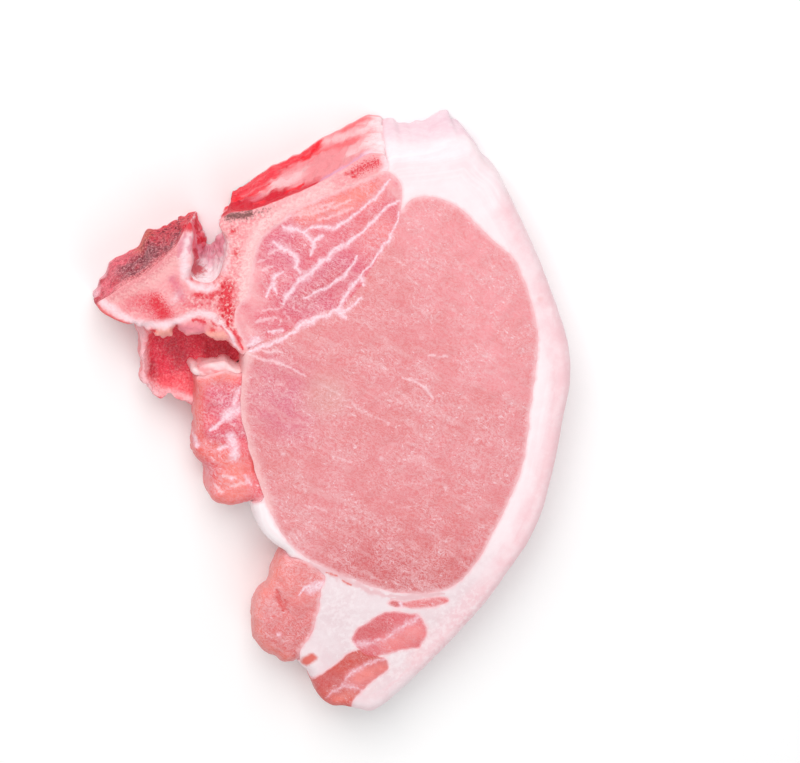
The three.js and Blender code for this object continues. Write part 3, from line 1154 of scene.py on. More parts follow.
@dataclass(frozen=True)
class Finish:
    """Raw tissue as a shader.

    Attributes:
        name: Name of the material.
        base: Main colour.
        light: Colour of its paler grain.
        deep: Colour of its deeper blotches, layers or cells.
        zones: Broad tints under the grain, the lowest first.
        layers: Tints over the grain, the lowest first.
        fineness: How fine its grain is.
        contrast: How much the paler grain and the deeper blotches show.
        roughness: Lowest and highest roughness of its moist surface.
        bump: Height of its fine relief, in millimetres.
        border: Colour of the soft edge against another tissue.
        border_width: Width of that edge, in millimetres.
        border_amount: How much of that colour shows.
    """

    name: str
    base: Colour
    light: Colour
    deep: Colour
    zones: tuple[Layer, ...] = ()
    layers: tuple[Layer, ...] = ()
    fineness: float = 1.5
    contrast: tuple[float, float] = (0.4, 0.3)
    roughness: tuple[float, float] = (0.38, 0.55)
    bump: float = 0.06
    border: Colour = (0.9, 0.8, 0.8)
    border_width: float = 0.6
    border_amount: float = 0.6

    SPECULAR = 0.35
    EDGE = {"level": 0.55, "softness": 0.55, "raggedness": 1.2, "fineness": 0.7}

    def material(self, fields: set[str]) -> bpy.types.Material:
        """Make the finish's material.

        Args:
            fields: Names of the fields that the piece has.

        Returns:
            The material.
        """
        made = bpy.data.materials.new(self.name)
        made.use_nodes = True
        made.node_tree.nodes.clear()
        graph = Graph(made.node_tree)
        place = graph.millimetres()
        colour: Input = (*self.base, 1.0)
        for zone in (zone for zone in self.zones if zone.name in fields):
            colour = zone.over(graph, place, colour)
        colour, dry, height = self.grain(graph, place, colour)
        near = graph.minus(1.0, graph.math("DIVIDE", graph.attribute("from_soft"), self.border_width))
        edge = RaggedMask.place(graph, place=place, field=near, **self.EDGE)
        colour = graph.mix(graph.times(edge[0], self.border_amount), colour, self.border)
        for layer in (layer for layer in self.layers if layer.name in fields):
            colour = layer.over(graph, place, colour)
        colour, height = self.crust(graph, place, colour, height)
        relief = {"Height": height, "Distance": self.bump * MM, "Strength": 1.0}
        inputs = {
            "Base Color": colour,
            "Roughness": graph.between(dry, *self.roughness),
            "Normal": graph.node("ShaderNodeBump", relief).outputs[0],
            "Specular IOR Level": self.SPECULAR,
        }
        shader = graph.node("ShaderNodeBsdfPrincipled", inputs)
        graph.node("ShaderNodeOutputMaterial", {"Surface": shader.outputs[0]})
        return made

    def grain(self, graph: Graph, place: Socket, colour: Input) -> tuple[Socket, Socket, Socket]:
        """Lay the tissue's grain over a colour, and give colour, dryness and height."""
        raise NotImplementedError

    def crust(self, graph: Graph, place: Socket, colour: Socket, height: Socket) -> tuple[Socket, Socket]:
        """Leave colour and height as they are, where nothing lies over the tints."""
        return colour, height


class LeanFinish(Finish):
    """Lean meat."""

    # Painted highlights: colour and share of the pale specks that stand for moist glints
    PAINTED_HIGHLIGHT_COLOUR = tone(254, 234, 242)
    PAINTED_HIGHLIGHT_AMOUNT = 0.42

    def grain(self, graph: Graph, place: Socket, colour: Input) -> tuple[Socket, Socket, Socket]:
        """Lay blotches, pale grain and painted highlights of moist glints over a colour.

        Args:
            graph: Tree of the material.
            place: Place on the object, in millimetres.
            colour: Colour under the grain.

        Returns:
            Colour, dryness and height.
        """
        pale, dark = self.contrast
        lean = LeanGrain.place(graph, place=place, fineness=self.fineness)
        colour = graph.mix(graph.times(lean["Blotch"], dark), colour, self.deep)
        colour = graph.mix(graph.times(lean["Grain"], pale), colour, self.light)
        # Painted highlights of moist glints
        colour = graph.mix(graph.times(lean["Glint"], self.PAINTED_HIGHLIGHT_AMOUNT), colour, self.PAINTED_HIGHLIGHT_COLOUR)
        return colour, lean["Blotch"], lean["Height"]


class FatFinish(Finish):
    """Fat in layers."""

    def grain(self, graph: Graph, place: Socket, colour: Input) -> tuple[Socket, Socket, Socket]:
        """Lay streaks and clouds over a colour.

        Args:
            graph: Tree of the material.
            place: Place on the object, in millimetres.
            colour: Colour under the grain.

        Returns:
            Colour, dryness and height.
        """
        pale, dark = self.contrast
        from_rim = graph.attribute("from_free")
        fat = FatLayers.place(graph, place=place, from_rim=from_rim, pitch=self.fineness)
        colour = graph.mix(graph.times(fat["Streak"], dark), colour, self.deep)
        colour = graph.mix(graph.times(fat["Cloud"], pale), colour, self.light)
        return colour, fat["Cloud"], fat["Height"]


class BoneFinish(Finish):
    """Sawn and broken bone."""

    RED, RED_EDGE, RED_AMOUNT = tone(236, 92, 102), (0.45, 0.1), 0.3
    SPECK_EDGE, SPECK_AMOUNTS = (0.5, 0.9), (0.2, 0.5)
    DARK, DARK_EDGE, DARK_AMOUNT = tone(102, 16, 36), (0.5, 0.0), 0.6
    PALE, PALE_EDGE, PALE_AMOUNT = tone(244, 180, 186), (0.5, 1.0), 0.5
    WALL_MARROW = tone(112, 2, 30)
    PIT_AMOUNT, PIT_DEPTH = 0.9, 0.15

    def grain(self, graph: Graph, place: Socket, colour: Input) -> tuple[Socket, Socket, Socket]:
        """Lay pale grit over a colour, and give colour, dryness and height."""
        grit = SpongyBone.place(graph, place=place, fineness=self.fineness)["Grit"]
        return graph.mix(graph.times(grit, self.contrast[0]), colour, self.light), grit, grit

    def crust(self, graph: Graph, place: Socket, colour: Socket, height: Socket) -> tuple[Socket, Socket]:
        """Lay sand, specks and open cells over the tints.

        Args:
            graph: Tree of the material.
            place: Place on the object, in millimetres.
            colour: Colour under them.
            height: Height under them.

        Returns:
            Colour and height.
        """
        bone = SpongyBone.place(graph, place=place, fineness=self.fineness)
        grains, sandy = graph.attribute("grains"), graph.attribute("sandy")
        red = graph.times(graph.step(bone["Grit"], *self.RED_EDGE), grains)
        clumped = graph.between(bone["Clump"], *self.SPECK_AMOUNTS)
        specks = graph.times(graph.step(bone["Grit"], *self.SPECK_EDGE), clumped)
        dark = graph.times(graph.step(bone["Sand"], *self.DARK_EDGE), sandy)
        pale = graph.times(graph.step(bone["Sand"], *self.PALE_EDGE), sandy)
        pits = graph.times(bone["Cell"], graph.attribute("porous"))
        marrow = graph.mix(graph.attribute("body_wall"), self.deep, self.WALL_MARROW)
        colour = graph.mix(graph.times(red, self.RED_AMOUNT), colour, self.RED)
        colour = graph.mix(graph.times(specks, grains), colour, self.light)
        colour = graph.mix(graph.times(dark, self.DARK_AMOUNT), colour, self.DARK)
        colour = graph.mix(graph.times(pale, self.PALE_AMOUNT), colour, self.PALE)
        colour = graph.mix(graph.times(pits, self.PIT_AMOUNT), colour, marrow)
        return colour, graph.minus(height, graph.times(pits, self.PIT_DEPTH))


@dataclass
class Piece:
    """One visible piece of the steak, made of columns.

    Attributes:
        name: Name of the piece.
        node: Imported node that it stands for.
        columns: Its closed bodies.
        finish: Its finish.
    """

    name: str
    node: str
    columns: tuple[Column, ...]
    finish: Finish

    SHARP_ANGLE = math.radians(55.0)

    def build(self, plan: Plan) -> bpy.types.Object:
        """Make the piece's mesh and dress it.

        Args:
            plan: The split plan.

        Returns:
            The finished object.
        """
        shells = [column.build(plan.share(column)) for column in self.columns]
        faces, start = [], 0
        for shell in shells:
            faces += [tuple(corner + start for corner in face) for face in shell.faces]
            start += len(shell.places)
        mesh = bpy.data.meshes.new(self.name)
        mesh.from_pydata(leaned(np.vstack([shell.places for shell in shells])).tolist(), [], faces)
        for name in sorted({name for shell in shells for name in shell.fields}):
            values = [shell.fields.get(name, np.zeros(len(shell.places))) for shell in shells]
            data = mesh.attributes.new(name, "FLOAT", "POINT").data
            data.foreach_set("value", np.concatenate(values).astype(np.float32))
        mesh.shade_smooth()
        mesh.set_sharp_from_angle(angle=self.SHARP_ANGLE)
        mesh.materials.append(self.finish.material(set(mesh.attributes.keys())))
        made = bpy.data.objects.new(self.name, mesh)
        bpy.context.scene.collection.objects.link(made)
        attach(made, "root")
        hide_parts(self.node)
        log.info("%s: %d points, %d faces", self.name, len(mesh.vertices), len(mesh.polygons))
        return made


def spots(width: float, *points: Point) -> tuple[Stroke, ...]:
    """Separate round spots of one width."""
    return tuple(Stroke((point,), width) for point in points)


EYE_SEAM = (
    Stroke(((15.7, 52.1), (15.1, 49.5), (13.6, 46.4), (11.6, 43.4), (9.1, 40), (6.5, 37)), 0.6),
    Stroke(((6.5, 37), (4.3, 34), (2.1, 30.9), (0.4, 28.6)), 1.1),
    Stroke(((0.4, 28.6), (-2.2, 27.3), (-5.2, 26.3), (-7.8, 25.1), (-10.8, 22.9)), 1.4),
    Stroke(((-10.8, 22.9), (-13.9, 21.3), (-16.9, 20), (-20.8, 18.9)), 1.2),
    Stroke(((0.4, 28.4), (3, 28.3), (6.5, 31.5)), 0.7), Stroke(((0.4, 28.4), (2.8, 26.7)), 1.2),
    Stroke(((6.3, 36.8), (7.1, 34.5)), 0.8),
)


@dataclass
class LoinEye(Column):
    """The large round lean muscle."""

    outline: tuple[Point, ...] = (
        (-21.5, 18.5), (-12, 23.5), (-3.5, 28), (2, 29.5), (10.5, 41), (16, 52), (19, 55.5), (23.5, 56),
        (29, 54), (38.5, 45), (44.5, 39), (49.5, 24), (50, 17), (48.5, 4), (46.5, -12.5), (42, -24),
        (33.5, -39.5), (28, -44), (19, -45), (9, -42.5), (-10, -32), (-16.5, -21), (-21, -6), (-23, 5),
        (-22.5, 13),
    )
    crown: float = 0.8
    round_top: float = 0.8
    ragged: float = 0.14
    sharp: bool = True
    paint: Paint = painted(
        seam=EYE_SEAM,
        fleck=(
            Stroke(((16.5, 11.1), (20.7, 9.7), (24.1, 5.5)), 0.6),
            Stroke(((-3.2, 9.8), (1.5, 7.1), (6.1, 3.4), (9.7, 1.5), (13.2, -0.4)), 0.55, 0.55),
            Stroke(((22.9, 16.5), (27.5, 16.3)), 0.45),
            Stroke(((-7.5, -20.6), (-4.9, -21.2), (-2.1, -22.4)), 0.5, 0.6),
            Stroke(((-0.4, -8.4), (2.3, -9.4), (4.9, -10.7)), 0.6, 0.45),
            Stroke(((1, -22), (3.1, -23.9), (4.9, -24.9)), 0.7, 0.5),
            Stroke(((16.8, -15.4), (19.7, -16.1), (22.7, -16.4)), 0.5, 0.4),
            Stroke(((19.1, -26.5), (22.1, -28.5), (25.7, -29.4)), 0.6, 0.4),
            Stroke(((12, -18.8), (15, -21.4), (17.9, -22.2)), 0.6, 0.4),
            Stroke(((31.6, -11.6), (34, -12.9), (35.7, -14.5)), 0.6, 0.45),
            Stroke(((-21.3, 19.2), (-17.7, 18.9), (-13.1, 18.4)), 0.6),
            Stroke(((-20.8, 18.2), (-19.4, 17.4), (-13.1, 15.6), (-7.3, 12.4)), 0.55),
            *spots(0.9, (13, -0.4), (11.3, -9.1), (-12.8, -7.2), (27.2, -17.4)),
        ),
        film=(
            Stroke(((-21.2, 18), (-22.6, 13), (-23.1, 5), (-21.2, -6), (-18.8, -14), (-16.6, -21)), 2.6),
        ),
        purple=(Stroke(((-13.2, 11), (-13.2, 3)), 13.0),),
        tan=spots(9.0, (-2.2, 7.2)),
        fair=(Stroke(((24, 50), (34, 40), (40, 20)), 24.0),),
        # Darker lower part of the eye: painted shade
        deep=(Stroke(((27, -40), (8, -37)), 19.0),),
    )


CHINE_PALE = (
    Stroke(((12.8, 61), (14, 58.9), (15, 56.8)), 3.6),
    Stroke(((-19.6, 38.5), (-19.8, 34), (-19.2, 31)), 4.4),
    Stroke(((-22.6, 27.6), (-21, 24.2), (-19.6, 22.4)), 4.4),
)


@dataclass
class ChineMuscle(Column):
    """The smaller muscle between the eye and the spine, crossed by white seams."""

    outline: tuple[Point, ...] = (
        (-20.8, 19.3), (-22.3, 21.7), (-23.6, 24.3), (-24.2, 26.8), (-23.9, 29.3), (-22.6, 31.2),
        (-21.1, 33), (-20.3, 37.8), (-19.5, 41.5), (-18.9, 44.2), (-17.6, 46.8), (-15.6, 49),
        (-12.8, 50.9), (-10.6, 53), (-8.2, 54.4), (-5, 55.7), (-0.9, 57.3), (6.3, 60.1), (10, 61.8),
        (12.6, 62.6), (15.5, 60.5), (16.5, 56.5), (15, 48), (4, 28), (-3, 25), (-12, 20.5),
    )
    crown: float = 0.5
    ragged: float = 0.12
    sharp: bool = True
    seed: int = 2
    paint: Paint = painted(
        seam=(
            *EYE_SEAM, Stroke(((13.6, 60.4), (11.2, 57.4), (8.7, 54.9), (6.1, 52.8)), 0.7),
            Stroke(((6.1, 52.8), (3.1, 50.9), (0.1, 49.1), (-2.9, 49.5), (-5.9, 49), (-7.4, 48.1)), 0.95),
            Stroke(((-7.4, 48.1), (-10.2, 48.9), (-12.3, 49.7)), 1.3),
            Stroke(((-7.4, 48.1), (-5.5, 46.1), (-4.9, 45), (-5.7, 42.4)), 1.1),
            Stroke(((-4.9, 45.9), (-2.7, 47.1)), 0.8),
            Stroke(((15.7, 55.1), (12.5, 53.5), (9.1, 50.1), (6.1, 47.1)), 0.75),
            Stroke(((6.1, 47.1), (2.6, 44.8), (0.5, 43.8), (-2.1, 41.6), (-4.7, 39.1), (-7.3, 37)), 1.35),
            Stroke(((-5.6, 38.3), (-7.3, 37), (-8.8, 36.4)), 1.5),
            Stroke(((-7.3, 37), (-9.4, 35), (-11, 33.1), (-12.3, 30.5)), 1.1),
            Stroke(((-14.5, 45.9), (-12.4, 44.1), (-10.2, 43), (-9.2, 41.8), (-9.2, 40.1),
                    (-8.3, 37.9)), 1.2),
            Stroke(((-12.4, 38.4), (-14.1, 37.4), (-15, 35.4), (-14, 33.2)), 0.9),
            Stroke(((-15, 35.4), (-16.5, 32.4)), 0.6),
            Stroke(((5.6, 41.9), (4.3, 39.7), (2.2, 37.1), (-0.9, 34.8), (-3.9, 33.3), (-7.3, 31.8)), 0.65),
            Stroke(((-16.2, 23.5), (-12.5, 23.8)), 0.9), Stroke(((-21.1, 20.2), (-18.6, 22.1)), 1.4),
            Stroke(((-21.3, 19), (-19.1, 20.3), (-16.7, 21.2)), 1.5),
        ),
        fleck=(
            Stroke(((-12.6, 29.8), (-14.4, 29.2), (-16.6, 28.8), (-18.5, 29.1)), 0.6, 0.8),
            Stroke(((-10.8, 30.6), (-9.1, 29), (-7.6, 27.2)), 0.45, 0.6),
            Stroke(((-10, 31.3), (-8.1, 30.3), (-6.2, 29.5)), 0.45, 0.6),
            Stroke(((-15.9, 25.5), (-14.9, 26.5)), 0.6, 0.8),
            Stroke(((-13.5, 25.2), (-13, 26.7)), 0.6, 0.8),
            Stroke(((-12, 28.4), (-10.8, 26.1)), 0.45, 0.6),
            Stroke(((-19.1, 26.1), (-16.6, 26.8), (-14.2, 27)), 0.7),
            Stroke(((-18.4, 41), (-16.5, 41.7)), 0.8), Stroke(((-17.5, 39), (-15.1, 39.9)), 0.8),
            Stroke(((-16, 42.9), (-13.8, 43.8)), 0.8),
            Stroke(((-11.8, 51.7), (-5.8, 53.5), (0.3, 55.3)), 0.9, 0.8),
            Stroke(((-8.2, 52.1), (-2.2, 53.4), (3.9, 55.7)), 0.9, 0.8),
            Stroke(((-3.9, 51), (1.5, 52.5), (4.4, 53.9)), 0.9, 0.8),
        ),
        purple=(
            Stroke(((-12, 47), (-15, 43), (-10, 41.5)), 5.0, 0.9),
            Stroke(((2, 38.5), (-9, 31.5)), 7.0, 1.1), Stroke(((-9.5, 30), (-3, 29.4)), 5.0, 1.3),
        ),
        bright=(Stroke(((-6, 53), (1.4, 54.6), (9.1, 57.9)), 6.0, 1.2), *spots(9.0, (10.4, 47.4))),
        orange=(Stroke(((-7, 52.6), (1.4, 55), (9.1, 58.3)), 4.5, 0.9),),
        fair=(Stroke(((-4, 46), (6, 51)), 4.0, 0.4), *CHINE_PALE),
        deep=(Stroke(((1, 37.4), (-9, 31)), 5.0, 0.7),),
        film=tuple(Stroke(pale.points, pale.width, 0.55) for pale in CHINE_PALE),
    )
    relief: dict[str, float] = field(default_factory=lambda: {"seam": -0.12})


@dataclass
class SawnBone(Column):
    """Spine, arch and upper half of the vertebral body, with the canal open to the sawn side."""

    outline: tuple[Point, ...] = (
        (-57.3, 31.8), (-54.6, 33.4), (-50.2, 36.3), (-47.8, 37.5), (-45.4, 38.7), (-43.7, 40.1),
        (-41, 42.4), (-38.2, 45.2), (-36.6, 48.2), (-35.4, 50.4), (-34.8, 51.2), (-34.3, 50.7),
        (-34, 48.1), (-34.5, 44.4), (-34.2, 41.5), (-34.7, 39.5), (-35.1, 38), (-34.5, 36.6),
        (-33.2, 35.8), (-31.8, 35.4), (-30.1, 35.3), (-28.4, 36.4), (-27.1, 38.8), (-26.6, 40.5),
        (-26.1, 42.7), (-26.1, 46.7), (-27, 48.7), (-27.7, 50.4), (-27.1, 51.8), (-26, 52.6),
        (-24.8, 53.1), (-22.6, 53.3), (-20.2, 53.6), (-17.3, 54.3), (-11.8, 56.2), (-8.2, 57.7),
        (-4.5, 59.3), (-0.9, 61.2), (2.7, 63.1), (5.1, 64.7), (7.1, 65.9), (9, 66.6), (10.9, 66.5),
        (12.4, 66), (13, 63), (5, 57), (-4.5, 52), (-14, 45), (-18, 39), (-19.5, 32), (-20, 25),
        (-20.5, 20), (-22.3, 17.9), (-23.4, 18.6), (-24.9, 20), (-26.4, 21.6), (-28.3, 21.4), (-29.8, 22),
        (-31.2, 23.1), (-33.9, 23.1), (-36.5, 23.2), (-37.5, 24.2), (-38.2, 25.7), (-38.8, 24.4),
        (-39.3, 23.1), (-40.9, 22.6), (-42.8, 23.1), (-45.2, 24.6), (-47.6, 25.8), (-51.2, 26.8),
        (-54, 28.2), (-56.4, 29.9),
    )
    crown: float = 0.0
    round_top: float = 0.45
    round_foot: float = 0.5
    bulge: float = 0.0
    rough: float = 0.8
    rough_pitch: float = 2.2
    rings: int = 26
    ripple: float = 0.08
    ripple_pitch: float = 3.0
    tissue: Tissue = Tissue.BONE
    seed: int = 3
    torn_edge: Stroke = Stroke(((-47, 25.4), (-42.8, 23.2), (-38, 24), (-31, 23), (-24.6, 20)), 4.0)
    torn_round: float = 1.6
    torn_wander: float = 0.3
    torn_lumps: float = 0.7
    canal_edge: Stroke = Stroke(
        ((-35, 37.8), (-33.2, 35.8), (-30.1, 35.3), (-28.4, 36.4), (-27.1, 38.8), (-26.4, 42.7),
         (-26.4, 46.5)),
        3.0,
    )
    canal_round: float = 1.5
    sides: dict[str, Stroke] = field(default_factory=lambda: {
        "spine": Stroke(((-25.8, 52.8), (-17, 54.5), (-5, 59.2), (7.5, 66.2), (12.4, 66), (13.1, 64)), 2.5),
        "body": Stroke(((-57, 32), (-50, 36.4), (-41, 42.4), (-36.8, 48), (-35.6, 51.4)), 1.7),
        "canal": Stroke(((-33.4, 51.6), (-34, 48.1), (-34.2, 41.5), (-35, 37.6), (-30, 35), (-26.1, 43),
                         (-27.5, 50)), 1.7),
    })
    paint: Paint = painted(
        white=(
            Stroke(((-56, 32), (-54, 30.7), (-51.3, 28.6), (-49, 27.2), (-45.9, 26.2), (-42.3, 26.1),
                    (-38.6, 26.7)), 1.9),
            Stroke(((-38.6, 26.7), (-36.2, 27.6), (-33.8, 28.6), (-31.9, 28.8), (-29.7, 27.9),
                    (-27.8, 26.4)), 1.65),
            Stroke(((-27.8, 26.4), (-26.1, 24.1), (-24.7, 21.8), (-23.3, 19.2)), 1.0),
            Stroke(((-35.2, 47.7), (-35.7, 45), (-36, 42.5), (-36, 40.3), (-35.8, 38.1)), 2.4),
            Stroke(((-35.6, 36.8), (-34.4, 35.6), (-32.5, 34.8), (-30.2, 34.5), (-28.2, 35.6)), 1.25),
            Stroke(((-26.7, 38.8), (-26, 42.7), (-25.9, 46.4)), 1.6, 0.7),
            Stroke(((-39, 32.2), (-37.3, 33.9)), 2.0, 0.6),
            Stroke(((12.6, 66), (13, 64.2), (12.6, 62.8)), 2.2),
        ),
        red=(
            Stroke(((-26, 35), (-26.2, 31.5), (-26, 28.5)), 3.4),
            Stroke(((-33.2, 33.4), (-30.8, 33.2), (-28.2, 33.8)), 2.0, 0.8),
            Stroke(((-34.8, 51), (-35, 49.6), (-35.3, 48.4)), 1.7, 1.4),
            *spots(1.0, (4.4, 62.4), (4.9, 61.4), (3.2, 62.2)),
            Stroke(((-26.1, 26.6), (-25.2, 25), (-24, 22.8), (-22.3, 19.4)), 1.2),
            *spots(1.4, (-23.7, 43.4), (-24.4, 48.8), (-35.2, 37.6), (-34.7, 37), (-56.9, 32)),
            Stroke(((-56.4, 30), (-53.8, 28.4), (-50.9, 27)), 0.9, 0.8),
            Stroke(((-34.5, 27.1), (-33.1, 27.2), (-31.4, 26.5)), 1.0),
            Stroke(((-29.9, 26.7), (-28, 25.4), (-26.1, 23.3), (-24.5, 21.3)), 0.6),
            *spots(1.2, (-29.6, 24.4), (-44, 24.6)),
        ),
        fold=(
            Stroke(((-35.9, 48.4), (-36.4, 47), (-37, 45.5), (-37.6, 43)), 1.0),
            Stroke(((-34.6, 47.6), (-34.7, 46), (-34.9, 43.7)), 0.8),
            Stroke(((-39.2, 37.2), (-37.8, 35.1), (-36.9, 32.9)), 2.2, 0.8),
            Stroke(((-37, 24.9), (-34.6, 25.1), (-32.4, 24.8)), 2.2),
        ),
        peach=(
            Stroke(((-42.6, 24.4), (-39.9, 24.3)), 2.2),
            Stroke(((-30.7, 23.3), (-28.8, 23), (-27.1, 23)), 1.8),
        ),
        ruddy=(
            Stroke(((-43.2, 32), (-42, 30.2), (-41.3, 28.4)), 3.6, 1.5),
            Stroke(((-46.6, 31.8), (-43.6, 29.8)), 4.4, 0.75),
            Stroke(((5.6, 62.8), (8, 64), (10.2, 64.6)), 3.0, 1.15),
            Stroke(((-25.8, 34.6), (-26.2, 31.5), (-25.8, 28.2)), 3.0, 0.8),
        ),
        rose=(
            Stroke(((-49, 32.3), (-45.7, 32.6), (-44, 30), (-40.5, 28.4)), 5.0),
            Stroke(((-38.4, 36.4), (-37, 33), (-36.4, 31)), 2.6, 0.8),
            Stroke(((-36, 31), (-31, 31)), 3.5, 0.8),
        ),
        pale=(Stroke(((-53, 33.4), (-49, 35.2), (-44.5, 37.4), (-41.6, 39.6), (-38.8, 42)), 3.4),),
        arc=(
            Stroke(((-1.2, 58.9), (-6.3, 56.6), (-11, 54.2), (-14.9, 51.8), (-17.2, 50.2)), 2.4, 0.8),
            Stroke(((-14.9, 51.8), (-17.4, 50.1), (-18.8, 47.4), (-20.2, 44.5), (-21.2, 39.6),
                    (-21.8, 35), (-22, 32.4)), 2.3),
        ),
        cells=(
            Stroke(((-26.5, 35), (-26.4, 31), (-25.8, 27)), 3.4, 1.3),
            Stroke(((-33, 32.4), (-27, 32)), 2.8, 0.8), *spots(2.0, (-23.9, 43.4), (-24.4, 48.8)),
        ),
        grains=(
            Stroke(((-17, 52.6), (-23.5, 51.5), (-24.3, 46), (-24, 40), (-25, 34), (-26, 28)), 5.5, 1.4),
            Stroke(((-17, 52.6), (-8, 56.4), (4, 61)), 3.0, 0.5), Stroke(((-36, 31), (-28, 31)), 4.0),
            Stroke(((-48, 31), (-42, 31)), 7.0, 0.3),
        ),
        smear=(
            Stroke(((-25.5, 52.4), (-23.6, 52.6), (-21.7, 52.6), (-20.2, 53)), 1.7),
            Stroke(((-20.2, 53), (-17.3, 53.8), (-14.4, 54.6)), 0.8, 0.45),
        ),
        tissue=(Stroke(((-47, 25), (-42.5, 24.4), (-38, 25), (-31, 24.6), (-25.3, 21)), 2.6),),
        edge=(
            Stroke(((-57.3, 32), (-57, 30.8), (-55.6, 29.4), (-53.6, 28), (-51.2, 26.9),
                    (-49.2, 26.3)), 1.1),
        ),
        dust=(Stroke(((-53.6, 33.8), (-49.8, 36), (-45.4, 38.4), (-41.4, 41.8), (-38.8, 44.2)), 3.4),),
    )
    wall_paint: Paint = painted(
        spine_white=(
            Stroke(((-18.7, 53.9, 12), (-16.4, 54.6, 11), (-13.5, 55.6, 11), (-10.5, 56.7, 11.5),
                    (-8.8, 57.4, 10.5)), 4.4),
            Stroke(((-2, 60.6, 2.5), (1.4, 62.4, 4), (2.8, 63.1, 5), (5.3, 64.8, 6), (7.3, 66, 7)), 2.4),
            Stroke(((4.5, 64.3, 14), (6.8, 65.7, 14), (9.3, 66.6, 14)), 3.8),
        ),
        spine_salmon=(
            Stroke(((2.8, 63.1, 2), (4.5, 64.3, 2), (6.5, 65.6, 2.5), (8.7, 66.5, 2.5)), 2.2),
            Stroke(((-2.8, 60.2, 6.5), (0.1, 61.7, 7), (3, 63.3, 8.5), (6, 65.3, 9.5), (9, 66.6, 9)), 2.4),
        ),
        spine_red=(
            Stroke(((-24.8, 53.1, 3), (-22.8, 53.3, 4), (-19.9, 53.7, 4.5), (-16, 54.7, 3.6)), 8.0),
            Stroke(((-16, 54.7, 3.6), (-11, 56.5, 2.6), (-8.5, 57.6, 2.2), (-5.8, 58.7, 3.4)), 5.4),
            Stroke(((-22.5, 53.4, 9.5), (-19.5, 53.8, 10.5), (-17, 54.4, 9.5)), 3.4),
        ),
        # Dark crimson band below the spine's upper edge: red bone darkened with painted shade of the recess
        spine_deep=(
            Stroke(((-24.8, 53.1, 14.5), (-22.2, 53.3, 16.2), (-19.9, 53.7, 17.2), (-17.2, 54.3, 17.6),
                    (-13.8, 55.6, 17.8)), 5.4, 1.6),
            Stroke(((-13.8, 55.6, 17.8), (-11, 56.5, 18.2), (-8.3, 57.7, 18.4), (-4.4, 59.4, 19)), 2.6, 0.9),
            Stroke(((-4.4, 59.4, 19), (-1, 61.1, 19.4)), 1.9, 0.8),
        ),
        spine_mauve=(Stroke(((-22.5, 53.3, 12.6), (-20.2, 53.6, 13.8), (-18.4, 54, 13.6)), 2.2),),
        spine_drop=(
            Stroke(((-3.6, 59.8, 0.8), (-4.1, 59.5, 2.5), (-4.7, 59.2, 4.5)), 2.2),
            Stroke(((-4.7, 59.2, 4.5), (-5.8, 58.7, 5), (-7.7, 57.9, 4)), 1.7),
            Stroke(((-25, 53.1, 6.5), (-22.2, 53.3, 10), (-19.9, 53.7, 11)), 2.0),
            Stroke(((-18.7, 53.9, 16), (-17.2, 54.3, 17)), 1.6),
            Stroke(((-11.6, 56.3, 16.5), (-9.1, 57.3, 17), (-7.1, 58.1, 16.5)), 1.5),
        ),
        # Lilac line just below the right part of the spine's upper edge: painted shade
        spine_lilac=(
            Stroke(((-2.4, 60.4, 19.2), (1.4, 62.4, 19), (4.5, 64.3, 19), (6.8, 65.7, 19),
                    (8.7, 66.5, 19.4)), 2.0),
        ),
        spine_end=(Stroke(((13, 65.4, 19), (13, 65.4, 0)), 8.0),),
        body_pink=(
            Stroke(((-54, 33.8, 9.5), (-52, 35.1, 8.5), (-50.5, 36.1, 5.5)), 6.0),
            Stroke(((-54.3, 33.6, 16), (-52, 35.1, 17)), 3.5),
            Stroke(((-50, 36.4, 2), (-48.4, 37.2, 1), (-46.2, 38.2, 2)), 3.0),
        ),
        body_strip=(
            Stroke(((-57.2, 32, 9), (-56.6, 32.4, 1), (-54.8, 33.3, 1), (-52.6, 34.7, 0.5)), 3.0),
        ),
        body_pale=(
            Stroke(((-51.5, 35.4, 19), (-46.5, 38.1, 19.2), (-42.5, 41.1, 19.4), (-39, 44.3, 19.6)), 4.4),
        ),
        body_grey=(
            Stroke(((-48.6, 37.1, 10.5), (-46.2, 38.2, 9), (-44.5, 39.4, 10.5), (-42.9, 40.8, 12)), 5.0),
            Stroke(((-48.6, 37.1, 15), (-47.3, 37.7, 15), (-44.9, 39, 15), (-42.9, 40.8, 15)), 4.0),
            Stroke(((-40, 43.4, 15.5), (-38.3, 45.1, 15.5), (-37.5, 46.4, 14.5)), 3.2, 0.9),
        ),
        body_brown=(Stroke(((-43.8, 40, 0.5), (-44, 39.8, 4.5), (-45.2, 38.8, 2)), 3.0),),
        body_pits=(
            Stroke(((-43.8, 40, 6.5), (-42, 41.5, 5), (-40.4, 42.9, 4), (-38.3, 45.1, 4),
                    (-36.6, 48.2, 6.5)), 5.5),
            Stroke(((-41.7, 41.7, 13), (-39.7, 43.6, 12), (-37.8, 45.8, 11.5), (-36.4, 48.5, 13)), 5.0),
        ),
        body_bright=(
            Stroke(((-36.1, 49.2, 2), (-35.3, 50.6, 1), (-34.7, 51.2, 9), (-35.3, 50.6, 15.5)), 5.0),
            Stroke(((-40.4, 42.9, 0.5), (-38.3, 45.1, 0.5), (-36.8, 47.8, 1)), 2.4),
        ),
        # Mauve inside the canal: painted shade over its pale lining
        canal_mauve=(
            Stroke(((-34.5, 43.9, 13.5), (-34.4, 40.3, 8), (-33.3, 35.9, 2.5)), 5.5),
            Stroke(((-31.6, 35.4, 2), (-27.1, 38.8, 1.5), (-26, 44.1, 6), (-26, 43.8, 11.5)), 8.0),
            Stroke(((-31, 35.3, 6), (-28.2, 36.7, 7)), 6.0, 0.8),
        ),
        canal_red=(
            Stroke(((-34.7, 51.2, 5), (-34.1, 49.9, 1), (-34, 49.3, 2)), 7.0),
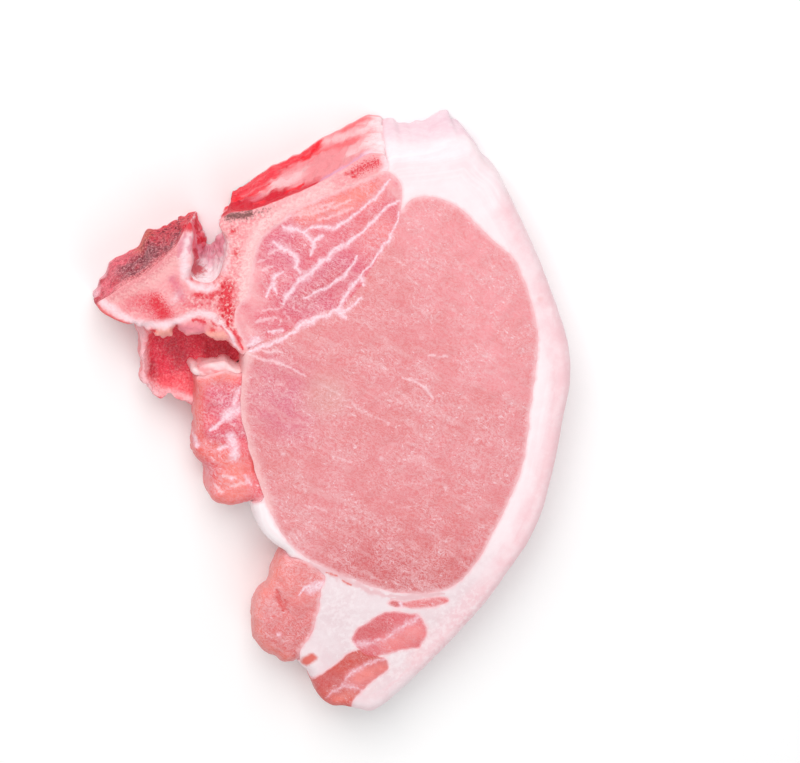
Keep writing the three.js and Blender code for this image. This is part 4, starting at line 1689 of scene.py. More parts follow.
            Stroke(((-34.7, 51.2, 20), (-34.3, 50.7, 19), (-34.1, 49.6, 18)), 4.0, 1.2),
            Stroke(((-34.1, 50.1, 13), (-34, 48.7, 12), (-34.4, 45.4, 6.5), (-34.3, 42.7, 3)), 6.5),
            Stroke(((-34.1, 49.5, 17.5), (-34.2, 46.9, 17), (-34.5, 44.4, 17.5)), 5.0, 0.8),
        ),
        canal_line=(
            Stroke(((-34.4, 45.1, 12), (-34.5, 44.2, 6.5), (-34.2, 41.8, 2)), 1.7),
            Stroke(((-34.1, 50.2, 4), (-34, 49.3, 8), (-34.1, 48.4, 12)), 2.4),
        ),
        # Dark crimson patch high on the canal's wall: red tissue darkened with painted shade
        canal_dark=(
            Stroke(((-34.3, 42.2, 15), (-34.3, 40.9, 16.5), (-34.9, 38.6, 15.5), (-34.1, 36.3, 12.5)), 4.2),
        ),
    )

    SHRED_SEED, SHRED_PITCH, SHRED_FADE = 60, 1.7, (0.3, 0.7)
    LUMP_PITCH, LUMP_FADE = 2.4, (0.1, 0.6)
    ROUND_FADE = (0.2, 0.6)
    SIDE_FADE = (0.1, 0.5)
    BODY_POROUS = 0.3
    BODY_GRAINS, SMEAR_COVER = 0.3, 2.0
    BODY_SANDY, GREY_SANDY, DUST_SANDY = 0.45, 0.8, 0.1

    def ring(self) -> np.ndarray:
        """Run the outline densely, with shreds along the torn lower edge.

        Returns:
            Plan points.
        """
        ring = super().ring()
        shreds = Ripple(self.seed + self.SHRED_SEED, self.SHRED_PITCH)(ring)
        shreds *= smoothstep(self.torn_edge.value(ring), *self.SHRED_FADE)
        return ring + outward(ring) * (self.torn_wander * shreds)[:, None]

    def upper(self, places: np.ndarray, from_border: np.ndarray, from_free: np.ndarray) -> np.ndarray:
        """Height of the sawn face, lumpy along the torn edge.

        Args:
            places: Plan places.
            from_border: Their distances to the border.
            from_free: Their distances to the free part of the border.

        Returns:
            One height for each place.
        """
        height = super().upper(places, from_border, from_free)
        torn = smoothstep(self.torn_edge.value(places), *self.LUMP_FADE)
        near = torn > 0.0
        height[near] += self.torn_lumps * torn[near] * face_lumps(places[near], self.LUMP_PITCH)
        return height

    def round_at(self, places: np.ndarray) -> np.ndarray:
        """Radius of the free upper edge, softer along the torn lower edge and round the canal.

        Args:
            places: Plan places.

        Returns:
            One radius for each place.
        """
        radius = np.full(len(places), self.round_top)
        for edge, soft in ((self.torn_edge, self.torn_round), (self.canal_edge, self.canal_round)):
            radius += (soft - self.round_top) * smoothstep(edge.value(places), *self.ROUND_FADE)
        return radius

    def fields_at(self, places: np.ndarray, wall: np.ndarray) -> dict[str, np.ndarray]:
        """Painted fields of the cut face and of the sawn walls.

        Args:
            places: Points in space, in the straight-sided steak.
            wall: 1 for points of the wall, 0 for points of a cut face.

        Returns:
            Values of each field by its name.
        """
        fields = super().fields_at(places, wall)
        near = {name: side.value(places) for name, side in self.sides.items()}
        sides = {name: wall * smoothstep(value, *self.SIDE_FADE) for name, value in near.items()}
        on_face = 1.0 - np.max(list(sides.values()), axis=0)
        for name in self.paint:
            fields[name] = fields[name] * on_face
        for name, strokes in self.wall_paint.items():
            fields[name] = sides[name.split("_")[0]] * strokes_value(strokes, places)
        for name, share in sides.items():
            fields[f"{name}_wall"] = share
        body, grey, dust = sides["body"], fields["body_grey"], fields["dust"]
        mixed = {
            "porous": self.BODY_POROUS * body + fields["body_pits"] + fields["cells"],
            "grains": self.BODY_GRAINS * body + fields["grains"] - self.SMEAR_COVER * fields["smear"],
            "sandy": self.BODY_SANDY * body + self.GREY_SANDY * grey + self.DUST_SANDY * dust,
        }
        return {**fields, **{name: np.clip(values, 0.0, 1.0) for name, values in mixed.items()}}


@dataclass
class BrokenBone(Column):
    """Lower half of the vertebral body, broken out below the cut face into a hollow of red marrow."""

    outline: tuple[Point, ...] = (
        (-47.2, 26), (-46.8, 19.4), (-46.9, 15.6), (-47.2, 11.1), (-45.8, 9.5), (-44.1, 7.7),
        (-42.2, 6.1), (-41, 6.3), (-40.2, 6.7), (-38.5, 5.7), (-36.6, 4.9), (-34, 4.1), (-29, 3),
        (-27, 12), (-23, 15), (-19.5, 20), (-24, 27), (-36, 31), (-44, 30),
    )
    level: float = 13.0
    crown: float = 0.0
    round_top: float = 0.9
    bulge: float = 0.3
    rough: float = 0.4
    rough_pitch: float = 3.0
    rings: int = 14
    ripple: float = 0.15
    ragged: float = 0.4
    tissue: Tissue = Tissue.BONE
    seed: int = 4
    hollows: tuple[tuple[Point, Point], ...] = (
        ((-38.2, 15.5, 14.5), (8.4, 10.2, 6.5)),
        ((-30.5, 18.5, 14.0), (9.5, 7.0, 5.5)),
    )
    pit_depth: float = 0.55
    paint: Paint = painted(
        low=(Stroke(((-43, 8), (-38, 7.5), (-31, 6.5)), 6.0),),
        brown=(
            Stroke(((-38.8, 17.6), (-36.9, 15.5), (-37.4, 13.7)), 3.6),
            Stroke(((-44.4, 14.5), (-43.8, 11.9)), 2.0), Stroke(((-30, 17.6), (-26.6, 17.4)), 3.0),
            Stroke(((-24.6, 15), (-22.7, 13)), 2.0),
        ),
        rim=(
            Stroke(((-46.9, 24), (-46.5, 19.4), (-46.4, 15.6), (-46.5, 11.6), (-45, 9.6), (-43, 7.6)), 2.2),
            Stroke(((-43, 7.6), (-38.5, 6.6), (-34.4, 5.2)), 1.6),
        ),
    )

    PIT_PITCH, PIT_FADE = 1.6, (0.2, 1.5)
    SUNK_DEPTHS = (0.4, 3.4)
    MARROW_LEAST, MARROW_DEPTHS = 0.3, (-0.4, 0.6)
    SUNK_POROUS = 0.4
    MARROW_GRAINS = 0.32

    def upper(self, places: np.ndarray, from_border: np.ndarray, from_free: np.ndarray) -> np.ndarray:
        """Height of the broken face, with its hollows and pits.

        Args:
            places: Plan places.
            from_border: Their distances to the border.
            from_free: Their distances to the free part of the border.

        Returns:
            One height for each place.
        """
        height = super().upper(places, from_border, from_free)
        for centre, radii in self.hollows:
            away = (((places - centre[:2]) / radii[:2]) ** 2).sum(axis=1)
            floor = centre[2] - radii[2] * np.sqrt(np.clip(1.0 - away, 0.0, 1.0))
            height = np.where(away < 1.0, np.minimum(height, floor), height)
        ease = smoothstep(from_border, *self.PIT_FADE)
        return height + self.pit_depth * ease * face_lumps(places, self.PIT_PITCH)

    def fields_at(self, places: np.ndarray, wall: np.ndarray) -> dict[str, np.ndarray]:
        """Painted fields of the broken face, some of them by depth in the hollow.

        Args:
            places: Points in space, in the straight-sided steak.
            wall: 1 for points of the wall, 0 for points of a cut face.

        Returns:
            Values of each field by its name.
        """
        face, depth = 1.0 - wall, self.level - places[:, 2]
        fields = {name: values * face for name, values in super().fields_at(places, wall).items()}
        # Deeper parts of the hollow turn a darker crimson: partly the marrow's own colour, partly painted
        # shade of the recess
        fields["sunk"] = smoothstep(depth, *self.SUNK_DEPTHS) * face
        shown = face * smoothstep(depth, *self.MARROW_DEPTHS)
        fields["marrow"] = self.MARROW_LEAST + (1.0 - self.MARROW_LEAST) * shown
        fields["porous"] = self.SUNK_POROUS * fields["sunk"]
        for name in ("grains", "sandy"):
            fields[name] = self.MARROW_GRAINS * fields["marrow"]
        return fields


@dataclass
class Tenderloin(Column):
    """The narrow loose muscle under the bone."""

    outline: tuple[Point, ...] = (
        (-33.5, 12), (-29, 14.6), (-25, 14.4), (-20, 11), (-18.5, -3.5), (-16, -14), (-18, -19),
        (-20.5, -20.2), (-25.5, -21.2), (-29, -20.5), (-31, -17.5), (-30.7, -14), (-31.5, -11.5),
        (-34, -8.5), (-34.6, -4.4), (-34.4, 2), (-33.6, 9),
    )
    level: float = 19.0
    crown: float = 0.6
    round_top: float = 3.4
    rough: float = 0.5
    rings: int = 16
    ripple: float = 0.32
    ripple_pitch: float = 6.0
    ragged: float = 0.18
    seed: int = 6
    paint: Paint = painted(
        seam=(
            Stroke(((-23, 9.8), (-23.6, 7.2), (-24.6, 5.4)), 1.5, 0.9),
            Stroke(((-22.8, 4.4), (-24.6, 3.6), (-26.4, 2.4)), 2.2, 1.1),
            Stroke(((-30.6, -0.9), (-29.1, 0.2), (-27, 1.6)), 1.35),
            Stroke(((-25.4, -2.9), (-24.7, -5.4), (-24.6, -7.9)), 2.0),
            Stroke(((-28.9, -5.9), (-26.4, -5.2)), 0.9),
            Stroke(((-21.9, -12.8), (-20.6, -15.2)), 1.0, 0.7), Stroke(((-34.3, -3), (-33.8, -5.4)), 1.1),
            *spots(0.9, (-25.4, -13.5)),
        ),
        fleck=(
            Stroke(((-27.7, -12.5), (-24.3, -13.4)), 0.8), Stroke(((-25.3, -15.4), (-21.9, -14.5)), 0.9),
            Stroke(((-29.7, -15), (-27.8, -16.9)), 0.8),
        ),
        crack=(Stroke(((-21.1, -7.7), (-20.3, -9.7), (-19.9, -12.1)), 0.8),),
        purple=(
            Stroke(((-28.5, 8), (-26, 4)), 6.0, 1.2), Stroke(((-24.1, 1.3), (-22.4, -1.3)), 4.0),
            Stroke(((-29.5, -1.8), (-26, -2.6)), 3.4, 1.1),
        ),
        web=(Stroke(((-29, 9), (-26.5, 5), (-25, 9)), 6.0), Stroke(((-29, -2), (-25, -3)), 4.0)),
        orange=(
            Stroke(((-33.2, 11.8), (-33.5, 6.7), (-33.8, 1.7), (-33.6, -2.1), (-32, -5.5)), 2.8),
            Stroke(((-33, -6.5), (-29.4, -6.6), (-26.2, -9)), 4.0, 1.2),
            Stroke(((-31, 12), (-27.9, 13), (-25, 12.6)), 2.6, 0.9),
            Stroke(((-25, -12), (-27, -19)), 7.0, 0.9),
        ),
        bright=(Stroke(((-24, -13), (-27, -19)), 8.0, 1.2), Stroke(((-31, 12), (-25, 13)), 4.0, 0.8)),
    )
    relief: dict[str, float] = field(default_factory=lambda: {"seam": -0.25})
    flap_round: float = 1.2
    flap_from: float = 5.0
    flap_to: float = 12.0

    def round_at(self, places: np.ndarray) -> np.ndarray:
        """Radius of the free upper edge, tighter under the flap."""
        covered = smoothstep(places[:, 1], self.flap_from, self.flap_to)
        return self.round_top + (self.flap_round - self.round_top) * covered


@dataclass
class FatFlap(Column):
    """The flap of fat across the tenderloin's upper end."""

    outline: tuple[Point, ...] = (
        (-34.5, 14.9), (-33.9, 15.1), (-33, 14.9), (-32, 15.6), (-30.4, 16), (-28.6, 16.4), (-27.1, 16.5),
        (-26.3, 16.2), (-25.4, 15.5), (-24.2, 14.6), (-23.2, 14), (-22.5, 13.4), (-23.7, 13.1),
        (-25, 13.5), (-26.3, 13.8), (-28.1, 13.8), (-29.4, 13.5), (-30.7, 13.2), (-32, 12.9),
        (-33.1, 12.6), (-33.9, 12.8), (-34.6, 13.4), (-34.8, 14.2),
    )
    level: float = 19.0
    crown: float = 0.0
    round_top: float = 1.3
    rough: float = 0.6
    rough_pitch: float = 1.8
    ripple: float = 0.22
    ripple_pitch: float = 2.4
    ragged: float = 0.16
    tissue: Tissue = Tissue.FAT
    seed: int = 7
    paint: Paint = painted(
        blush=(Stroke(((-33, 14.4), (-32, 14.2), (-30.4, 14.4), (-29.2, 14)), 1.5),),
        white=(
            Stroke(((-34.6, 14.6), (-34, 13.8), (-33.2, 13.2)), 1.5),
            Stroke(((-30.6, 16), (-28.8, 16.3), (-27.1, 16.4), (-25.4, 15), (-23.4, 13.8)), 1.6),
        ),
    )


@dataclass
class FlankLobe(Column):
    """The rounded lean lobe on the inner side of the tail."""

    outline: tuple[Point, ...] = (
        (-12.3, -33.9), (-9.6, -34.2), (-7.6, -35.5), (-5.9, -36.4), (-3.6, -38.2), (-2.7, -39.8),
        (-3.6, -43), (-3.9, -45.6), (-4.1, -48.3), (-4.9, -51), (-5.8, -54.3), (-7.3, -57), (-8.6, -59.7),
        (-9.1, -62.2), (-10.2, -62.9), (-11.8, -63.2), (-13.4, -62.9), (-14.6, -61.9), (-16.8, -60.8),
        (-18.3, -59.4), (-19.5, -57.2), (-20.3, -53.9), (-20.7, -49.8), (-20.2, -46.3), (-19, -43.3),
        (-17.3, -41.2), (-16.2, -39.4), (-15.6, -37.6), (-13.9, -35.3),
    )
    level: float = 19.8
    round_top: float = 4.0
    round_foot: float = 5.0
    rough: float = 0.3
    rings: int = 16
    ripple: float = 0.2
    ragged: float = 0.2
    seed: int = 8
    paint: Paint = painted(
        seam=(
            Stroke(((-3.1, -41.1), (-5.6, -41.5), (-7.9, -42.5), (-8.9, -44.1)), 1.2),
            Stroke(((-2.8, -41.6), (-4.6, -42.2), (-6.2, -42.9)), 1.7), *spots(1.0, (-14.1, -54.5)),
        ),
        crack=(
            Stroke(((-14.6, -42.5), (-14.1, -45.2), (-13.1, -48.2)), 0.8),
            Stroke(((-12.6, -45.3), (-11.6, -48.6)), 0.6, 0.8),
        ),
        orange=(
            Stroke(((-13.8, -36), (-16.4, -40.6), (-19, -45), (-19.8, -51), (-18, -57.5),
                    (-12, -61.6)), 3.2, 0.85),
        ),
        fair=(Stroke(((-16.4, -40.6), (-18.6, -46), (-18.6, -52)), 4.0, 0.6),),
        bright=(Stroke(((-12, -40), (-8, -44)), 6.0, 0.7),),
        deep=(Stroke(((-17, -58), (-11, -61)), 9.0), Stroke(((-8, -44), (-9, -54)), 6.0, 0.55)),
    )
    relief: dict[str, float] = field(default_factory=lambda: {"crack": -0.5})


@dataclass
class BellyStripUpper(Column):
    """The upper lean layer of the tail."""

    outline: tuple[Point, ...] = (
        (4.4, -56.1), (5.7, -53.7), (7.9, -52.4), (9.9, -50.9), (12.4, -49.7), (15.6, -49.6), (18.6, -50),
        (20.9, -50.8), (22.4, -52.8), (23, -55.8), (22.5, -57.9), (21.1, -59.8), (18.8, -60.2),
        (16.3, -60.4), (13.8, -61.1), (10, -61.5), (7.4, -61), (5.6, -59.4), (4.6, -57.8),
    )
    ragged: float = 0.28
    sharp: bool = True
    seed: int = 9
    paint: Paint = painted(
        seam=(
            Stroke(((3.8, -58.4), (6.4, -58), (9.4, -57.8)), 1.4, 0.7),
            Stroke(((8, -57.9), (10, -57.7), (13.2, -56.4), (16.2, -54.2), (18.6, -52.6)), 1.5, 0.5),
            Stroke(((17, -53.6), (18.6, -52.6), (21.6, -50.9)), 1.5, 0.62),
        ),
        deep=(Stroke(((7, -54.6), (12, -53)), 4.5),),
        bright=(Stroke(((14, -58.6), (20, -56)), 4.5),),
        fair=(Stroke(((13, -58), (20, -55)), 5.0, 0.8),),
    )


@dataclass
class BellyStripLower(Column):
    """The lower lean layer of the tail, which reaches its edge."""

    outline: tuple[Point, ...] = (
        (-6.2, -68.6), (-3.8, -66.4), (-1.3, -64.3), (1.2, -62.3), (3.8, -60.3), (5.6, -59.6),
        (7.6, -60.6), (9.6, -61.2), (11.8, -62.1), (13.4, -63.8), (13.1, -65.6), (10.8, -67.7),
        (8.3, -69.8), (6.3, -71.6), (4.8, -73.4), (4, -77.5), (-1, -79), (-6, -75),
    )
    round_top: float = 2.2
    ragged: float = 0.25
    rings: int = 16
    seed: int = 10
    paint: Paint = painted(
        seam=(
            Stroke(((-2.2, -72.5), (0, -70.5), (2.5, -69.5), (5, -69.9), (6.8, -70.8)), 1.2, 0.52),
            Stroke(((2.6, -67.4), (3.8, -66.3), (6.8, -64.5), (10, -63), (12.4, -62.6)), 1.4, 0.58),
        ),
        fair=(Stroke(((5, -68), (9.5, -65.8), (12.3, -64.6)), 4.4, 1.8),),
        bright=(
            Stroke(((-0.4, -73.4), (4, -71.8)), 3.4, 0.5), Stroke(((5.8, -67.4), (12, -65)), 3.0, 0.9),
        ),
        orange=(
            Stroke(((6, -67.2), (9.5, -65.6), (12.3, -64.6)), 3.0, 0.5),
            Stroke(((1.3, -73), (4, -71.8)), 3.0, 0.6),
        ),
        deep=(Stroke(((-3.6, -68.4), (-0.7, -67.2), (1, -68.6)), 3.6),),
    )


@dataclass
class BellySliver(Column):
    """The thin lean layer under the eye."""

    outline: tuple[Point, ...] = (
        (13.2, -47.3), (14.3, -46.4), (16.1, -46.9), (19.8, -46.7), (23.6, -46.1), (27.6, -46.2),
        (28.4, -47.2), (26.1, -48.3), (23.6, -48.9), (19.9, -49), (16.9, -48.5), (15, -48.4),
    )
    sharp: bool = True
    ragged: float = 0.1
    seed: int = 11
    paint: Paint = painted(
        seam=(Stroke(((16.2, -46.6), (16.6, -48.8)), 0.8),),
        deep=(Stroke(((13.8, -47.2), (15.8, -47.6)), 2.4),),
    )


@dataclass
class FatRim(Column):
    """Rim, back fat corner, tail and short inner rim of fat."""

    outline: tuple[Point, ...] = (
        (12.9, 66.2), (17, 66.9), (22.5, 66.8), (28, 67.2), (31, 67.9), (33.2, 67.9), (35, 66.5),
        (37, 63.6), (40.2, 60.2), (44.2, 52.2), (47.7, 44.8), (50.8, 37.7), (53.3, 31.1), (56.6, 22.2),
        (58.5, 13.2), (58.3, 6.1), (56.9, -1), (55.7, -8.5), (53.8, -17.5), (51.7, -25.7), (48.5, -32.9),
        (43.5, -40.5), (38.5, -48), (30.5, -57.7), (23.9, -64.8), (16.6, -72.2), (12.3, -75.7),
        (9.3, -77.2), (5.8, -76.5), (2.2, -75.3), (-0.3, -75.2), (-3.3, -73.2), (-5.3, -69.1),
        (-6.5, -65.8), (-8.3, -63.9), (-11, -59), (-10, -50), (-9, -42), (-11.5, -36.5), (-11.9, -33.4),
        (-14.3, -31.6), (-17.8, -28), (-19.6, -23.5), (-20.2, -19), (-16, -14), (20, 5), (22, 40),
        (9, 55),
    )
    tissue: Tissue = Tissue.FAT
    crown: float = 0.3
    round_top: float = 2.8
    rough: float = 0.1
    rough_pitch: float = 6.0
    rings: int = 18
    ripple: float = 0.06
    ragged: float = 0.05
    seed: int = 12
    paint: Paint = painted(
        lean=(
            Stroke(((-7.2, -62.3), (-6, -61.4)), 2.1, 1.1),
            Stroke(((-2.2, -38.4), (0.4, -39.4)), 0.6, 0.6),
            Stroke(((1.6, -40.6), (3.8, -41.9)), 0.6, 0.6),
        ),
        seam=(
            Stroke(((-10, -34.6), (-3.9, -37.4), (1.1, -39.8), (6.1, -42.6), (11.1, -44.6),
                    (17.3, -45.8)), 1.4),
            Stroke(((14, -46.2), (21.1, -45.6), (27, -45.2)), 1.2),
        ),
        crease=(
            Stroke(((49.5, 44.5), (52.6, 31.9), (55.4, 20.5), (57, 11), (56.4, -1.2), (54.8, -11.4)), 1.2),
            Stroke(((56.4, -1.2), (54.8, -11.4), (52.1, -21.7), (48, -33.2), (42.3, -44.7),
                    (36.1, -53.7)), 1.3),
            Stroke(((54, 14), (53.8, 2), (52, -11), (49, -22), (44.6, -32)), 0.9, 0.7),
            Stroke(((33.7, -50), (26.3, -57.9), (18.9, -65.3), (12.6, -71.1)), 1.2, 0.7),
        ),
        # Greyer tint over the tail's fat, painted shade of its lower end; the same field also gives pale
        # mottling
        tail=(Stroke(((0, -46), (12, -64), (34, -50)), 26.0),),
        blush=(Stroke(((24, -52), (20, -62), (9, -71)), 5.0, 0.35), *spots(1.2, (50.4, 29.7))),
        # Darker pinkish grey on the end wall of the back fat: painted shade
        back=(Stroke(((14, 66.5, 6), (22, 66.9, 6), (30, 67.8, 6), (35, 66.5, 6)), 11.0),),
        pink=(Stroke(((45, 52), (50, 40), (58, 12), (55, -15), (44, -39), (24, -64)), 7.0, 1.1),),
        # Whiter band along the short inner rim of fat: painted light where that rim lies in shade
        clear=(Stroke(((-12.6, -32.6), (-15.4, -30), (-18.4, -26), (-19.8, -21)), 4.0),),
    )


LEAN_ZONES = (
    Layer("fair", tone(252, 164, 172), 0.5, 0.5, 0.5, 0.4, 0.2),
    Layer("purple", tone(212, 96, 130), 0.55, 0.45, 0.45, 0.4, 0.2),
    Layer("tan", tone(218, 160, 152), 0.65, 0.45, 0.4, 0.4, 0.25),
    # Darker patches; on the eye's lower part this darkening is painted shade
    Layer("deep", tone(202, 78, 80), 0.7, 0.5, 0.5, 0.4, 0.2),
    Layer("bright", tone(250, 146, 142), 0.6, 0.45, 0.45, 0.4, 0.2),
    Layer("orange", tone(247, 130, 112), 0.58, 0.45, 0.45, 0.6, 0.4),
)

LEAN_LAYERS = (
    Layer("crack", tone(216, 54, 50), 0.6, 0.5, 0.45, 0.8, 0.9),
    Layer("web", tone(253, 214, 224), 0.5, 1.0, 0.25, 2.2, 2.2),
    Layer("film", tone(250, 206, 206), 0.6, 0.5, 0.5, 0.8, 0.5),
    Layer("fleck", tone(252, 220, 227), 0.52, 0.5, 0.5, 1.8, 1.5),
    Layer("seam", tone(242, 184, 197), 0.5, 0.3, 0.3, 1.3, 1.1),
    Layer("seam", tone(253, 228, 238), 0.8, 0.7, 0.55, 2.0, 1.6),
)

# Pale colour that the grain of lean meat goes toward, how far it goes, and how much blotches show
LEAN_LIGHT = tone(255, 236, 242)
LEAN_LIGHT_SHARE = 0.5
LEAN_BLOTCH = 0.4

# Soft edge between lean meat and fat
LEAN_BORDER = tone(246, 200, 205)
LEAN_BORDER_AMOUNT = 0.75


def lean_finish(
    name: str, base: Colour, deep: Colour, width: float = 1.3, fineness: float = 2.2, pale: float = 0.62
) -> LeanFinish:
    """Make a finish of lean meat.

    Args:
        name: Name of the material.
        base: Main colour.
        deep: Colour of its blotches.
        width: Width of its soft edge, in millimetres.
        fineness: How fine its grain is.
        pale: How much its paler grain shows.

    Returns:
        The finish.
    """
    light = tuple(b + LEAN_LIGHT_SHARE * (p - b) for b, p in zip(base, LEAN_LIGHT))
    return LeanFinish(
        name, base, light, deep, LEAN_ZONES, LEAN_LAYERS, fineness, (pale, LEAN_BLOTCH),
        border=LEAN_BORDER, border_width=width, border_amount=LEAN_BORDER_AMOUNT,
    )


EYE_LEAN = lean_finish("eye_lean", tone(227, 129, 134), tone(218, 112, 109))
CHINE_LEAN = lean_finish("chine_lean", tone(227, 100, 116), tone(221, 86, 96), pale=0.68)
TENDERLOIN_LEAN = lean_finish(
    "tenderloin_lean", tone(229, 82, 96), tone(229, 78, 78), fineness=1.6, pale=0.58
)
LOBE_LEAN = lean_finish("lobe_lean", tone(228, 116, 116), tone(224, 104, 98))
STRIP_LEAN = lean_finish("strip_lean", tone(226, 102, 110), tone(218, 82, 90), 0.7, pale=0.42)
STRIP_END_LEAN = lean_finish("strip_end_lean", tone(212, 84, 74), tone(200, 64, 56), 0.5, pale=0.3)
SLIVER_LEAN = lean_finish("sliver_lean", tone(232, 116, 120), tone(224, 100, 102), 0.6)

RIM_FAT = FatFinish(
    "fat", tone(249, 231, 235), tone(252, 241, 244), tone(243, 205, 212),
    zones=(
        # Painted shade: greyer tint over the tail's fat
        Layer("tail", tone(229, 204, 209), 0.75, 0.4, 0.4, 0.3, 0.15),
        # Painted shade on the end wall of the back fat
        Layer("back", tone(228, 188, 202), 0.95, 0.35, 0.3, 0.3, 0.3),
        Layer("pink", tone(243, 192, 199), 0.8, 0.35, 0.4, 0.4, 0.3),
        # Painted light: whiter band on the shaded inner rim of fat
        Layer("clear", tone(255, 252, 253), 0.9, 0.4, 0.4, 0.4, 0.4),
    ),
    layers=(
        Layer("tail", tone(253, 243, 245), 0.4, 1.0, 0.25, 2.0, 0.9),
        Layer("crease", tone(242, 198, 204), 0.5, 0.5, 0.5, 1.0, 0.6),
        Layer("seam", tone(230, 170, 176), 0.6, 0.45, 0.45, 1.2, 0.8),
        Layer("blush", tone(240, 184, 186), 0.55, 0.5, 0.45, 0.8, 0.4),
        Layer("lean", tone(226, 88, 72), 0.9, 0.42, 0.3, 0.6, 0.7),
    ),
    fineness=1.3, contrast=(0.45, 0.42), roughness=(0.4, 0.55), bump=0.02,
    border=LEAN_BORDER, border_width=0.8, border_amount=LEAN_BORDER_AMOUNT,
)

FLAP_FAT = FatFinish(
    "flap_fat", tone(253, 188, 194), tone(254, 226, 229), tone(240, 130, 138),
    layers=(
        Layer("blush", tone(240, 120, 124), 0.65, 0.5, 0.45, 1.3, 0.8),
        Layer("white", tone(255, 230, 230), 0.6, 0.45, 0.45, 1.2, 0.8),
    ),
    fineness=0.9, contrast=(0.7, 0.6), roughness=(0.4, 0.55), bump=0.08,
    border=tone(246, 160, 160), border_width=1.0, border_amount=0.7,
)

BONE = BoneFinish(
    "bone", tone(248, 160, 166), tone(255, 226, 222), tone(214, 8, 36),
    zones=(
        Layer("rose", tone(236, 96, 110), 0.6, 0.45, 0.45, 0.9, 0.5),
        Layer("pale", tone(246, 180, 180), 0.65, 0.45, 0.45, 0.8, 0.5),
        Layer("arc", tone(252, 202, 204), 0.85, 0.45, 0.45, 0.6, 0.5),
    ),
    layers=(
        # Sawn face
        Layer("rose", tone(226, 80, 98), 0.45, 0.8, 0.4, 2.4, 1.8),
        Layer("ruddy", tone(226, 22, 48), 0.92, 0.85, 0.5, 2.6, 2.8),
        Layer("tissue", tone(248, 152, 154), 0.75, 0.35, 0.3, 1.4, 0.8),
        Layer("peach", tone(250, 172, 158), 0.75, 0.4, 0.35, 1.2, 0.9),
        Layer("red", tone(228, 16, 44), 0.9, 0.5, 0.4, 1.6, 0.8),
        Layer("white", tone(253, 224, 231), 0.85, 0.5, 0.5, 0.9, 0.7),
        Layer("fold", tone(224, 120, 144), 0.6, 0.5, 0.45, 1.0, 0.6),
        Layer("edge", tone(236, 104, 104), 0.85, 0.4, 0.35, 0.8, 0.9),
        Layer("dust", tone(226, 120, 130), 0.7, 0.75, 0.4, 2.6, 1.7),
        # Wall of the spine
        Layer("spine_wall", tone(240, 142, 148), 0.95, 0.4, 0.2, 0.3, 0.5),
        Layer("spine_white", tone(254, 208, 211), 0.68, 0.45, 0.5, 0.9, 0.6, 8.0),
        Layer("spine_salmon", tone(248, 92, 98), 0.7, 0.45, 0.45, 1.2, 0.7, 8.0),
        Layer("spine_red", tone(240, 26, 52), 0.92, 0.42, 0.35, 1.2, 0.7, 6.0),
        Layer("spine_red", tone(250, 130, 136), 0.5, 1.1, 0.3, 2.2, 1.2, 3.0),
        Layer("spine_mauve", tone(230, 126, 146), 0.75, 0.45, 0.45, 0.9, 0.8, 4.0),
        # Red bone darkened with painted shade of the recess, below the spine's upper edge
        Layer("spine_deep", tone(212, 0, 38), 0.98, 0.45, 0.4, 0.9, 0.7, 8.0),
        # Painted shade: lilac line below the right part of the spine's upper edge
        Layer("spine_lilac", tone(226, 168, 200), 0.7, 0.45, 0.45, 0.9, 0.7, 6.0),
        Layer("spine_drop", tone(244, 4, 36), 0.95, 0.45, 0.35, 0.9, 0.9),
        Layer("spine_end", tone(253, 230, 234), 0.95, 0.45, 0.45, 1.2, 0.5, 3.0),
        # Wall of the vertebral body
        Layer("body_wall", tone(200, 24, 54), 0.95, 0.4, 0.2, 0.3, 0.7),
        Layer("body_pink", tone(238, 98, 116), 0.92, 0.4, 0.45, 0.9, 0.6),
        Layer("body_bright", tone(228, 14, 46), 0.9, 0.42, 0.4, 1.2, 0.7),
        Layer("body_grey", tone(126, 58, 72), 0.78, 0.45, 0.45, 0.9, 0.6),
        Layer("body_brown", tone(206, 100, 84), 0.8, 0.45, 0.4, 1.2, 0.7),
        Layer("body_pale", tone(244, 150, 154), 0.8, 0.6, 0.4, 2.2, 1.7),
        Layer("body_strip", tone(250, 196, 208), 0.85, 0.45, 0.4, 0.8, 0.6),
        # Wall of the canal
        Layer("canal_wall", tone(255, 244, 248), 0.95, 0.4, 0.2, 0.3, 0.6),
        # Painted shade inside the canal, mauve over the pale lining
        Layer("canal_mauve", tone(244, 146, 172), 0.8, 0.45, 0.45, 0.7, 0.4),
        Layer("canal_red", tone(250, 84, 108), 0.9, 0.42, 0.4, 0.9, 0.5),
        # Red tissue in the canal darkened with painted shade
        Layer("canal_dark", tone(208, 26, 54), 0.85, 0.45, 0.35, 1.4, 1.1),
        Layer("canal_line", tone(224, 14, 44), 0.85, 0.45, 0.35, 1.0, 0.8),
        # Dark smear at the corner of the arch
        Layer("smear", tone(92, 46, 38), 0.85, 0.5, 0.4, 2.0, 1.8),
        # Broken hollow
        Layer("marrow", tone(244, 74, 90), 0.95, 0.45, 0.3, 0.8, 0.7),
        # Darker crimson with depth in the hollow: marrow colour and painted shade of the recess
        Layer("sunk", tone(232, 52, 80), 0.75, 0.5, 0.45, 1.0, 0.4),
        Layer("low", tone(252, 106, 116), 0.85, 0.45, 0.4, 1.0, 0.6),
        Layer("brown", tone(156, 44, 56), 0.48, 0.45, 0.4, 1.4, 0.7),
        Layer("rim", tone(255, 202, 208), 0.85, 0.45, 0.4, 1.2, 0.6),
    ),
    fineness=0.85, contrast=(0.2, 0.0), roughness=(0.42, 0.65), bump=0.1,
    border=tone(250, 205, 206),
)


